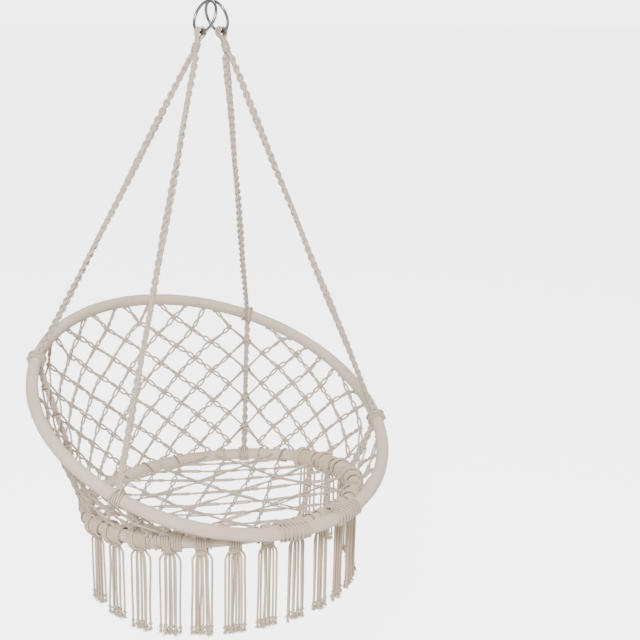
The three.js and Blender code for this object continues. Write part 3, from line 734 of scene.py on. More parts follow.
@dataclass
class HoopCover:
    """A hoop's padded sleeve of knitted cloth, with the sewn seam on its inner side.

    The waves of the cloth are pairs of how often each runs round the hoop and round the bar.
    """

    name: str
    hoop: Hoop
    seed: int
    steps: int = 420
    sides: int = 36
    looseness: float = 0.0001
    waves: tuple = ((9, 1), (23, 2), (41, 0), (67, 1), (113, 0), (151, 3))
    least_wave: float = 0.00006
    most_wave: float = 0.00016
    seam_depth: float = 0.0007
    seam_width: float = 0.16
    stitch_pitch: float = 0.0062
    stitch_length: float = 0.0046
    stitch_slant: float = 0.0011
    stitch_bow: float = 0.0005
    stitch_jitter: float = 0.0004
    stitch_sunk: float = 0.0002
    thread: float = 0.00038

    def build(self, wardrobe: Wardrobe) -> None:
        """Make the sleeve and its stitches.

        The sleeve's radius is the bar's padding, plus a sum of small cosines of the angle
        round the hoop and the angle round the bar, less a bell-shaped groove at the seam.

        Args:
            wardrobe: Puts the finishes on.
        """
        rng = np.random.default_rng(self.seed)
        angle = TURN * np.arange(self.steps) / self.steps
        turn = TURN * np.arange(self.sides) / self.sides
        ripple = sum(
            rng.uniform(self.least_wave, self.most_wave)
            * np.cos(n * angle[:, None] + k * turn + rng.uniform(0, TURN))
            for n, k in self.waves
        )
        seam = np.exp(-(((turn - math.pi) / self.seam_width) ** 2))
        radius = SLEEVE_RADIUS + self.looseness + ripple - self.seam_depth * seam
        out = self.hoop.outward(angle)[:, None]
        points = (
            self.hoop.point(angle)[:, None]
            + out * (radius * np.cos(turn))[..., None]
            - self.hoop.normal() * (radius * np.sin(turn))[..., None]
        )
        skin = Skin(self.seed)
        u = angle * self.hoop.radius
        skin.grid(points[None], u[None], closed=True, tone=0.5, caps=False)
        sleeve = wardrobe.dress(skin.mesh(self.name + "_cloth"), SLEEVE_FINISH, self.name)
        self._stitches(wardrobe, rng)

    def _stitches(self, wardrobe: Wardrobe, rng: np.random.Generator) -> None:
        """Sew short slanting stitches across the seam, each a thread bowed as 1 - s^2.

        Args:
            wardrobe: Puts the finish on.
            rng: Source of the small differences between stitches.
        """
        count = int(TURN * self.hoop.radius / self.stitch_pitch)
        angle = TURN * np.arange(count) / count + rng.normal(0, self.stitch_jitter, count)
        share = np.linspace(-1, 1, 7)
        inward = -self.hoop.outward(angle)
        lift = SLEEVE_RADIUS - self.stitch_sunk + self.stitch_bow * (1 - share**2)
        half = self.stitch_length / 2
        tilt = np.arctan2(share * half, lift)
        paths = (
            self.hoop.point(angle)[:, None]
            + inward[:, None] * (lift * np.cos(tilt))[:, None]
            + self.hoop.normal() * (lift * np.sin(tilt))[:, None]
            + self.hoop.tangent(angle)[:, None] * (share * self.stitch_slant)[:, None]
        )
        skin = Skin(self.seed + 1)
        skin.tubes(paths, inward[:, None], self.thread, 5)
        wardrobe.dress(skin.mesh(self.name.replace("sleeve", "seam_stitches")), THREAD_FINISH)


@dataclass
class Plait:
    """A plaited rope: three strands of two cords each that pass over each other in turn.

    The twist is in turns to a metre. The two cords of a strand part by the shares of the pair
    that step, spread and roll name. The waves are a height and radians to a metre.
    """

    name: str
    start: Array
    end: Array
    seed: int
    cycle: float = 0.056
    sway: float = 0.0035
    depth: float = 0.0026
    pair: float = 0.0034
    step: float = 0.35
    spread: float = 0.55
    roll: float = 0.45
    cord: float = 0.0026
    twist: float = 1.2
    slow_wave: tuple = (0.1, 61.0)
    fast_wave: tuple = (0.07, 143.0)
    per_cycle: int = 18
    least_steps: int = 16
    diameter: float = 0.014

    def lines(self) -> tuple[Array, Array]:
        """Work out the middle lines of the six cords.

        A strand's sideways place is sway * sin(p) and its depth is depth * sin(2p), where p
        grows by one turn each cycle and the three strands are a third of a turn apart. The
        sway is larger and smaller by turns along the rope, as a hand-made plait's is.

        Returns:
            The paths, shape (6, n, 3), and a vector square to the rope.
        """
        way = unit(self.end - self.start)
        length = float(np.linalg.norm(self.end - self.start))
        count = max(self.least_steps, int(self.per_cycle * length / self.cycle))
        along = np.linspace(0, length, count)
        side = across_of(ASIDE, way)
        other = np.cross(way, side)
        spin = self.twist * TURN * along + self.seed
        flat = side * np.cos(spin)[:, None] + other * np.sin(spin)[:, None]
        deep = np.cross(way, flat)
        rng = np.random.default_rng(self.seed)
        (slow, slow_rate), (fast, fast_rate) = self.slow_wave, self.fast_wave
        wave = 1 + slow * np.sin(along * slow_rate + rng.uniform(0, TURN))
        wave = wave + fast * np.sin(along * fast_rate)
        paths = []
        for strand in range(3):
            phase = TURN * (along / self.cycle + strand / 3)
            for half in (-1, 1):
                x = self.sway * np.sin(phase) * wave + half * self.pair * np.cos(phase) * self.step
                x = x + half * self.pair * np.abs(np.sin(phase)) * self.spread
                y = self.depth * np.sin(2 * phase) + half * self.pair * np.sin(phase) * self.roll
                middle = self.start + way * along[:, None]
                paths.append(middle + flat * x[:, None] + deep * y[:, None])
        return np.stack(paths), side

    def build(self, wardrobe: Wardrobe) -> None:
        """Args:
            wardrobe: Puts the finish on.
        """
        paths, side = self.lines()
        skin = Skin(self.seed)
        skin.tubes(paths, side + NUDGE, self.cord, 8)
        rope = wardrobe.dress(skin.mesh(self.name + "_plait"), ROPE_FINISH, self.name)


# Loops and knots

LEG_STEPS = 6
LEG_BOW = 0.0012
STEPS_PER_TURN = 28
PASSING = 3.2


def teardrops(
    centres: Array, axes: Array, knots: Array, reach: float | Array, spread: float, arc: int = 18
) -> Array:
    """Loops of cord round a bar, with both legs drawn together at a knot.

    In the plane square to the axis, the legs leave the round of the given reach at the angle
    acos(reach / distance) on each side of the line to the knot. Along the axis, the legs part
    by the spread on the bar and slope to the knot. Each leg bows a little outwards.

    Args:
        centres: Points of the bar's middle line, shape (k, 3).
        axes: Unit vectors along the bar.
        knots: Where the legs meet.
        reach: Radius of the loop's middle line.
        spread: Distance along the axis between the two legs on the bar.
        arc: Steps round the bar.

    Returns:
        Paths from knot to knot, shape (k, arc + 11, 3).
    """
    gap = knots - centres
    along = (gap * axes).sum(-1, keepdims=True)
    flat = gap - along * axes
    distance = np.linalg.norm(flat, axis=-1, keepdims=True)
    ahead = flat / distance
    side = np.cross(axes, ahead)
    reach = np.broadcast_to(np.asarray(reach, float), (len(centres),))[:, None]
    lean = np.arccos(np.clip(reach / distance, -1, 1))
    share = np.linspace(0, 1, arc + 1)
    turn = lean + (TURN - 2 * lean) * share
    shift = spread * (0.5 - share)
    out = ahead[:, None] * np.cos(turn)[..., None] + side[:, None] * np.sin(turn)[..., None]
    round_bar = centres[:, None] + reach[..., None] * out + axes[:, None] * shift[:, None]
    leg = np.linspace(0, 1, LEG_STEPS)[:-1, None]
    bow = np.sin(leg * math.pi) * LEG_BOW
    end = knots[:, None]
    first = end * (1 - leg) + round_bar[:, :1] * leg + side[:, None] * bow
    last = round_bar[:, -1:] * (1 - leg[1:]) + end * leg[1:] - side[:, None] * bow[1:]
    return np.concatenate([first, round_bar, last, end], 1)


def trefoils(
    centres: Array, normals: Array, spins: Array, size: float, lift: float, steps: int = 30
) -> Array:
    """Closed lines of tight overhand knots.

    The line is x = sin t + 2 sin 2t, y = cos t - 2 cos 2t, z = -sin 3t, scaled.

    Args:
        centres: Middles, shape (k, 3).
        normals: Unit vectors that the knots face.
        spins: Turn of each knot about its normal.
        size: Scale in the plane.
        lift: Scale along the normal.
        steps: Points in each line.

    Returns:
        Paths, shape (k, steps, 3).
    """
    t = TURN * np.arange(steps) / steps
    x = size * (np.sin(t) + 2 * np.sin(2 * t))
    y = size * (np.cos(t) - 2 * np.cos(2 * t))
    z = -lift * np.sin(3 * t)
    aside = np.where(np.abs(normals[:, :1]) < 0.8, [[1.0, 0, 0]], [[0, 1.0, 0]])
    side = across_of(aside, normals)
    other = np.cross(normals, side)
    cos, sin = np.cos(spins)[:, None], np.sin(spins)[:, None]
    side, other = side * cos + other * sin, other * cos - side * sin
    return (
        centres[:, None]
        + side[:, None] * x[:, None]
        + other[:, None] * y[:, None]
        + normals[:, None] * z[:, None]
    )


def coil(
    centre: Array,
    axis: Array,
    ahead: Array,
    radius: float,
    pitch: float,
    turns: float,
    stretch: float = 0.0,
) -> Array:
    """A cord wound round a bar, or round two bars side by side.

    A point lies at centre + axis * pitch * turn + radius * (cos, sin), and where stretch is
    set its two halves are moved apart by that much, smoothly where they pass.

    Args:
        centre: Middle of the winding.
        axis: Unit vector along it.
        ahead: Unit vector square to the axis, from one bar to the other.
        radius: Radius of the cord's middle line.
        pitch: Step from turn to turn.
        turns: Number of turns.
        stretch: Half the distance between the two bars.

    Returns:
        The path, shape (n, 3).
    """
    turn = np.linspace(-turns / 2, turns / 2, int(turns * STEPS_PER_TURN) + 1)
    angle = TURN * turn
    side = np.cross(axis, ahead)
    far = radius * np.cos(angle) + stretch * np.tanh(PASSING * np.cos(angle))
    return (
        centre
        + axis * (pitch * turn)[:, None]
        + ahead * far[:, None]
        + side * (radius * np.sin(angle))[:, None]
    )


# Nets


@dataclass
class KnottedNet:
    """A net: its knots, the pairs of cords between them, and the loops round hoops and ropes.

    The eye is how far the two cords of a pair stand apart on each side of their crossing, as
    many times over as the eye's range says. Links shorter than a full one have smaller eyes.
    """

    name: str
    seed: int
    eye: float = 0.0039
    cord: float = CORD_RADIUS
    eye_range: tuple = (0.35, 1.25)
    crossing_range: tuple = (0.42, 0.58)
    full_link: float = 0.034
    least_eye: float = 0.3
    slack: float = 0.0012
    over: float = 1.12
    flat: float = 0.75
    hitch_depth: float = 0.004
    hitch_lift: float = 0.0012
    loop_spread: float = 0.0036
    knot_size: float = 0.0016
    knot_lift: float = 0.0025
    knot_range: tuple = (0.95, 1.2)
    knot_cord: float = 1.08
    knot_tone: float = 1.6
    hitch_size: float = 0.0009
    hitch_height: float = 0.0011
    hitch_cord: float = 0.9

    def __post_init__(self) -> None:
        """Start with no knots."""
        self.places: list[Array] = []
        self.normals: list[Array] = []
        self.shown: list[bool] = []
        self.links: list[tuple[int, int]] = []
        self.loops: list[tuple[Array, Array, int, float]] = []
        self.stops: list[tuple[Array, Array]] = []
        self.rng = np.random.default_rng(self.seed)

    def knot(self, place: Array, normal: Array, shown: bool = True) -> int:
        """Add a knot.

        Args:
            place: Its middle.
            normal: The way that it faces.
            shown: Whether a knot is made there, or cords only meet.

        Returns:
            Its number.
        """
        self.places.append(place)
        self.normals.append(normal)
        self.shown.append(shown)
        return len(self.places) - 1

    def chain(self, knots: list[int]) -> None:
        """Link each knot of a list to the next."""
        self.links += list(zip(knots[:-1], knots[1:]))

    def loop(self, centre: Array, axis: Array, knot: int, reach: float) -> None:
        """Add a loop from a knot round a bar: its middle line's point, its way and the reach."""
        self.loops.append((centre, axis, knot, reach))

    def enter(self, hoop: Hoop, angle: float, knot: int) -> None:
        """Lead a pair from a knot through a hoop's sleeve, with a small hitch where it goes in.

        Args:
            hoop: The hoop.
            angle: Where the pair goes in.
            knot: The knot that it comes from.
        """
        centre = hoop.point(angle)
        toward = across_of(self.places[knot] - centre, hoop.tangent(angle))
        depth = SLEEVE_RADIUS - self.hitch_depth
        inside = self.knot(centre + toward * depth, self.normals[knot], shown=False)
        self.links.append((knot, inside))
        self.stops.append((centre + toward * (SLEEVE_RADIUS + self.hitch_lift), toward))

    def _pairs(self, skin: Skin, steps: int = 19) -> None:
        """Add the pairs of cords between knots.

        The two cords of a pair lie at plus and minus eye * sin(2 pi s) across the net, so
        they cross in the middle and leave an open eye on each side of the crossing. Where
        they cross, one passes over the other.

        Args:
            skin: The net's surface.
            steps: Points along each cord.
        """
        links = np.array(self.links)
        places, normals = np.array(self.places), np.array(self.normals)
        a, b = places[links[:, 0]][:, None], places[links[:, 1]][:, None]
        normal = unit(normals[links[:, 0]] + normals[links[:, 1]])[:, None]
        s = np.linspace(0, 1, steps)[:, None]
        way = unit(b - a)
        side = across_of(np.cross(normal, way), way)
        each = (len(links), 1, 1)
        first = self.rng.uniform(*self.eye_range, each)
        second = self.rng.uniform(*self.eye_range, each)
        middle = self.rng.uniform(*self.crossing_range, each)
        bent = np.where(s < middle, 0.5 * s / middle, 0.5 + 0.5 * (s - middle) / (1 - middle))
        size = np.where(bent < 0.5, first, second)
        length = np.linalg.norm(b - a, axis=-1, keepdims=True)
        room = np.clip(length / self.full_link, self.least_eye, 1.0)
        swing = size * np.sin(TURN * bent) * self.eye * room
        slack = self.rng.normal(0, self.slack, each) * np.sin(math.pi * s)
        cross = self.over * self.cord * (1 - self.flat * np.abs(np.sin(TURN * bent)))
        base = a + (b - a) * s + side * slack
        for sign in (-1, 1):
            paths = base + side * swing * sign + normal * cross * sign
            skin.tubes(paths, normal, self.cord, 7, caps=False)

    def _knots(self, skin: Skin) -> None:
        """Add a tight overhand knot where cords meet, and a small one where they enter a sleeve.

        Args:
            skin: The net's surface.
        """
        shown = np.array(self.shown)
        places = np.array(self.places)[shown]
        normals = np.array(self.normals)[shown]
        spins = self.rng.uniform(0, TURN, len(places))
        sizes = self.rng.uniform(*self.knot_range, (len(places), 1, 1))
        paths = trefoils(places, normals, spins, self.knot_size, self.knot_lift)
        paths = places[:, None] + (paths - places[:, None]) * sizes
        thick = self.cord * self.knot_cord
        skin.tubes(paths, normals[:, None], thick, 7, closed=True, tone=self.knot_tone)
        if self.stops:
            spots, facing = (np.array(items) for items in zip(*self.stops))
            spins = self.rng.uniform(0, TURN, len(spots))
            paths = trefoils(spots, facing, spins, self.hitch_size, self.hitch_height, 24)
            skin.tubes(paths, facing[:, None], self.cord * self.hitch_cord, 6, closed=True)

    def _loops(self, skin: Skin) -> None:
        """Add the loops round hoops and ropes.

        Args:
            skin: The net's surface.
        """
        if not self.loops:
            return
        centres, axes, numbers, reach = (np.array(items) for items in zip(*self.loops))
        knots = np.array(self.places)[numbers]
        paths = teardrops(centres, axes, knots, reach, self.loop_spread)
        skin.tubes(paths, axes[:, None], self.cord, 7, caps=False)

    def build(self, wardrobe: Wardrobe) -> None:
        """Make the net as one piece that stands for its node.

        Args:
            wardrobe: Puts the finish on.
        """
        skin = Skin(self.seed)
        self._pairs(skin)
        self._knots(skin)
        self._loops(skin)
        wardrobe.dress(skin.mesh(self.name + "_cords"), CORD_FINISH, self.name)
        counts = len(self.places), len(self.links), len(self.loops)
        LOG.info("%s: %d knots, %d links, %d loops", self.name, *counts)


class Meets(Enum):
    """What a column of a panel meets at one row."""

    SEAT_HOOP = "seat hoop"
    KNOT = "knot"
    STAY = "stay"
    RIM_HOOP = "large hoop"


class Foot(NamedTuple):
    """A place in a row: what the column meets there, the knot's number or -1, and the angle."""

    meets: Meets
    knot: int
    angle: float


@dataclass
class Panel:
    """A panel of net between two stays, its rows level with the seat hoop.

    Rows with an even number have a knot, or a stay, at each whole column. The others lie
    half a column further on.
    """

    name: str
    start: float
    stop: float
    columns: int
    seed: int
    most_rows: int = 14
    row_pitch: float = 0.035
    first_row: float = 0.033
    knot_room: float = 0.027
    tie_room: float = 0.024
    rope_radius: float = 0.0072
    loop_share: float = 0.72
    jitter: float = 0.0013

    def build(self, wardrobe: Wardrobe) -> None:
        """Lay out the knots row by row, link each to the two below it, and make the net.

        Args:
            wardrobe: Puts the finish on.
        """
        net = KnottedNet(self.name, self.seed)
        rng = np.random.default_rng(self.seed)
        below: dict[float, Foot] = {}
        for row in range(self.most_rows):
            line: dict[float, Foot] = {}
            for column in np.arange(row % 2 * 0.5, self.columns + 0.01, 1.0):
                feet = [below[c] for c in (column - 0.5, column + 0.5) if c in below]
                feet = [foot for foot in feet if foot.meets is not Meets.RIM_HOOP]
                foot = self._foot(net, rng, row, column, feet)
                if foot:
                    line[column] = foot
            below = line
        net.build(wardrobe)

    def _foot(
        self, net: KnottedNet, rng: np.random.Generator, row: int, column: float, feet: list[Foot]
    ) -> Foot | None:
        """Tie one column at one row to what lies below it.

        Args:
            net: The net.
            rng: Source of the small shifts of knots.
            row: The row, from 0 at the seat hoop.
            column: The column, from 0 at the start of the panel.
            feet: The places below that the cords come from.

        Returns:
            The new place, or none where the net has no cord.
        """
        angle = self.start + column * ((self.stop - self.start) / self.columns)
        slope = Slope.at(angle)
        height = self.first_row + (row - 1) * self.row_pitch
        on_stay = row % 2 == 0 and column in (0, self.columns)
        if row == 0:
            fits = not on_stay and slope.length >= self.knot_room + self.first_row
            return Foot(Meets.SEAT_HOOP, -1, angle) if fits else None
        if not feet:
            return None
        if on_stay:
            if not self.tie_room <= height <= slope.length - self.tie_room:
                return None
            for foot in feet:
                if foot.meets is Meets.KNOT:
                    self._loop(net, slope, height, foot.knot)
            return Foot(Meets.STAY, -1, angle)
        if height <= slope.length - self.knot_room:
            return self._knot(net, rng, height, angle, feet)
        for foot in feet:
            if foot.meets is Meets.KNOT:
                at = foot.angle + (angle - foot.angle) * self.loop_share
                net.enter(RIM, at, foot.knot)
        return Foot(Meets.RIM_HOOP, -1, angle)

    def _knot(
        self,
        net: KnottedNet,
        rng: np.random.Generator,
        height: float,
        angle: float,
        feet: list[Foot],
    ) -> Foot:
        """Make a knot and bring the cords from below to it.

        Args:
            net: The net.
            rng: Source of the knot's small shift.
            height: Way up from the seat hoop along the slope.
            angle: The column's angle.
            feet: The places below.

        Returns:
            The knot's place.
        """
        slope = Slope.at(angle)
        shift = rng.normal(0, self.jitter, 2)
        place = slope.low + slope.way * (height + shift[0])
        made = net.knot(place + SEAT.tangent(angle) * shift[1], slope.normal)
        for foot in feet:
            if foot.meets is Meets.KNOT:
                net.links.append((foot.knot, made))
            elif foot.meets is Meets.SEAT_HOOP:
                at = angle + (foot.angle - angle) * self.loop_share
                net.enter(SEAT, at, made)
            else:
                self._loop(net, Slope.at(foot.angle), height - self.row_pitch, made)
        return Foot(Meets.KNOT, made, angle)

    def _loop(self, net: KnottedNet, post: Slope, height: float, knot: int) -> None:
        """Lead a loop from a knot round a stay at a height."""
        net.loop(post.low + post.way * height, post.way, knot, self.rope_radius + CORD_RADIUS)


@dataclass
class Slant:
    """A slanting pair of the seat: its flat ends, their angles, and its knots by share."""

    start: Array
    end: Array
    angles: tuple[float, float]
    knots: list[tuple[float, int]] = field(default_factory=list)
    edge: float = 0.03

    def crossing(self, other: "Slant") -> tuple[float, float] | None:
        """Where two slants cross: start + r * share, with share = (p x q) / (r x q).

        Args:
            other: The other slant.

        Returns:
            The share of the way along each, or none where they don't cross inside the seat.
        """
        r, q, p = self.end - self.start, other.end - other.start, other.start - self.start
        area = r[0] * q[1] - r[1] * q[0]
        if abs(area) < 1e-9:
            return None
        share = (p[0] * q[1] - p[1] * q[0]) / area
        share_other = (p[0] * r[1] - p[1] * r[0]) / area
        inside = min(share, share_other, 1 - share, 1 - share_other) >= self.edge
        return (share, share_other) if inside else None


@dataclass
class SeatNet:
    """The net across the seat hoop: two slants of paired cords, knotted where they cross.

    The shares are the angles of the loops from the front to the back, as shares of half a
    turn. The columns and rows are the pairs laid over the slants, by X and by -Y.
    """

    name: str
    seed: int
    slant: int = 5
    last: int = 10
    sag: float = 0.014
    eye: float = 0.0042
    cord: float = 0.0019
    loop_room: float = 0.034
    loop_reach: float = SLEEVE_RADIUS + 0.0021
    shares: tuple = (0, 0.128, 0.228, 0.334, 0.411, 0.487, 0.611, 0.68, 0.778, 0.911, 1)
    columns: tuple = (-0.222, -0.096, 0.034, 0.164)
    rows: tuple = (-0.240, -0.122, 0.008, 0.138)
    knotted: float = 0.35
    jitter: float = 0.002
    sag_room: float = 0.02
    cross_room: float = 0.03
    cross_lift: float = 0.0034
    cross_jitter: float = 0.003

    def angle(self, number: int) -> float:
        """Find a loop's angle.

        Args:
            number: Its number, from 0 at the front, negative on the left.

        Returns:
            The angle.
        """
        turn = (number + self.last) % (2 * self.last) - self.last
        if turn == -self.last:
            turn = self.last
        return math.copysign(self.shares[abs(turn)] * math.pi, turn)

    def raised(self, flat: Array) -> Array:
        """Lift a flat point to the sagging net: sag * (1 - r^2 / R^2) below the hoop's plane.

        Args:
            flat: Ways to the right and to the front.

        Returns:
            The point.
        """
        low = self.sag * (1 - (flat**2).sum() / (SEAT.radius - self.sag_room) ** 2)
        return (
            SEAT.centre()
            + SEAT.tangent(0) * flat[0]
            + SEAT.outward(0) * flat[1]
            - SEAT.normal() * low
        )

    def build(self, wardrobe: Wardrobe) -> None:
        """Cross the two slants, knot the crossings, lay the straight pairs and make the net.

        Args:
            wardrobe: Puts the finish on.
        """
        net = KnottedNet(self.name, self.seed, eye=self.eye, cord=self.cord)
        rng = np.random.default_rng(self.seed)
        rightwards, leftwards = self._slants(1), self._slants(-1)
        for one in rightwards:
            for other in leftwards:
                shares = one.crossing(other)
                if shares is None:
                    continue
                flat = one.start + (one.end - one.start) * shares[0] + rng.normal(0, self.jitter, 2)
                shown = rng.uniform() < self.knotted
                knot = net.knot(self.raised(flat), SEAT.normal(), shown)
                one.knots.append((shares[0], knot))
                other.knots.append((shares[1], knot))
        for one in rightwards + leftwards:
            along = [knot for _, knot in sorted(one.knots)]
            if not along:
                along = [net.knot(self.raised((one.start + one.end) / 2), SEAT.normal(), False)]
            net.chain(along)
            for angle, knot, flat in zip(one.angles, (along[0], along[-1]), (one.start, one.end)):
                joint = net.knot(self.raised(flat), SEAT.normal(), shown=False)
                net.links.append((joint, knot))
                net.loop(SEAT.point(angle), SEAT.tangent(angle), joint, self.loop_reach)
        self._straight_pairs(net, rng)
        net.build(wardrobe)

    def _slants(self, way: int) -> list[Slant]:
        """Lay out one family of slants.

        Args:
            way: 1 for the one family, -1 for its mirror.

        Returns:
            The slants. The numbers of a slant's two loops add up to the field slant.
        """
        slants = []
        low = self.slant // 2 - 1
        while self.slant - 2 * low < 2 * self.last - 1:
            angles = (self.angle(way * low), self.angle(way * (self.slant - low)))
            inner = SEAT.radius - self.loop_room
            start, end = (np.array([math.sin(t), math.cos(t)]) * inner for t in angles)
            slants.append(Slant(start, end, angles))
            low -= 1
        return slants

    def _straight_pairs(self, net: KnottedNet, rng: np.random.Generator) -> None:
        """Lay pairs across and from front to back over the slants, with a knot at each crossing.

        Args:
            net: The net.
            rng: Source of the knots' small shifts.
        """
        inner = SEAT.radius - SLEEVE_RADIUS
        lift = SEAT.normal() * self.cross_lift
        stops: dict[tuple[int, int], int] = {}
        for i, x in enumerate(self.columns):
            for j, y in enumerate(self.rows):
                if math.hypot(x, y) < inner - self.cross_room:
                    flat = np.array([x, y]) + rng.normal(0, self.cross_jitter, 2)
                    stops[i, j] = net.knot(self.raised(flat) + lift, SEAT.normal())
        for axis, lines in ((0, self.columns), (1, self.rows)):
            for number, value in enumerate(lines):
                end = math.sqrt(inner**2 - value**2)
                ends = [np.array([value, v] if axis == 0 else [v, value]) for v in (-end, end)]
                along = [k for key, k in sorted(stops.items()) if key[axis] == number]
                marks = [net.knot(self.raised(flat) + lift, SEAT.normal(), False) for flat in ends]
                net.chain([marks[0], *along, marks[1]])


# Ties and lashings


@dataclass
class Tie:
    """Turns of cord that bind a rope or stay to a hoop, with two crossing cords on top."""

    name: str
    hoop: Hoop
    angle: float
    way: Array
    seed: int
    turns: float = 5.0
    cord: float = 0.0021
    pitch: float = 0.0046
    clearance: float = 0.0004
    stacked: float = 1.7
    half_wrap: float = 1.9
    slant: float = 0.008
    slant_rate: float = 0.8

    def build(self, wardrobe: Wardrobe) -> None:
        """Make the winding and the two cords over it, which slant as sin(slant_rate * a).

        Args:
            wardrobe: Puts the finish on.
        """
        axis = self.hoop.tangent(self.angle)
        centre = self.hoop.point(self.angle)
        ahead = across_of(self.way, axis)
        side = np.cross(axis, ahead)
        radius = SLEEVE_RADIUS + self.clearance + self.cord
        skin = Skin(self.seed)
        path = coil(centre, axis, ahead, radius, self.pitch, self.turns)
        skin.tubes(path, np.gradient(path, axis=0)[:, [1, 2, 0]] + axis, self.cord, 8)
        turn = np.linspace(-self.half_wrap, self.half_wrap, 22)
        outer = radius + self.stacked * self.cord
        for slant in (-1, 1):
            cross = (
                centre
                + outer * (ahead * np.cos(turn)[:, None] + side * np.sin(turn)[:, None])
                + axis * (slant * self.slant * np.sin(turn * self.slant_rate))[:, None]
            )
            skin.tubes(cross, axis, self.cord, 8)
        wardrobe.dress(skin.mesh(self.name + "_turns"), ROPE_FINISH, self.name)


@dataclass
class Lashing:
    """Cord wound round both hoops where they lie side by side at the front."""

    name: str
    side: Side
    seed: int
    seat_angle: float = math.radians(12.9)
    turns: float = 8.0
    cord: float = 0.0022
    pitch: float = 0.0045
    clearance: float = 0.0013
    flare: float = 1.0
    flare_from: float = 0.62

    def build(self, wardrobe: Wardrobe) -> None:
        """Make the winding, close on the seat hoop and spread by the flare on the large hoop.

        Each point's way along the coil becomes an arc of the hoop beside it. Between the hoops
        the two arcs are mixed by a smooth share of the way across, from flare_from on.

        Args:
            wardrobe: Puts the finish on.
        """
        seat_angle = self.side.value * self.seat_angle
        rim_angle = math.asin(math.sin(seat_angle) * SEAT.radius / RIM.radius)
        rim, seat = RIM.point(rim_angle), SEAT.point(seat_angle)
        axis = unit(RIM.tangent(rim_angle) + SEAT.tangent(seat_angle))
        between = seat - rim
        flat = between - (between * axis).sum() * axis
        half = float(np.linalg.norm(flat)) / 2
        radius = SLEEVE_RADIUS + self.clearance + self.cord
        path = coil((rim + seat) / 2, axis, unit(flat), radius, self.pitch, self.turns, half)
        offset = path - (rim + seat) / 2
        along = offset @ axis
        to_rim = 0.5 - offset @ unit(flat) / (2 * half)
        share = ease((to_rim - self.flare_from) / (1 - self.flare_from))
        arc = along * (1 + self.flare * share)
        on_rim = RIM.point(rim_angle + arc / RIM.radius) - rim
        on_seat = SEAT.point(seat_angle + arc / SEAT.radius) - seat
        path = path - axis * along[:, None]
        path = path + on_seat * (1 - share)[:, None] + on_rim * share[:, None]
        skin = Skin(self.seed)
        skin.tubes(path, axis + NUDGE, self.cord, 9)
        wardrobe.dress(skin.mesh(self.name + "_turns"), ROPE_FINISH, self.name)


# Rings and eyes


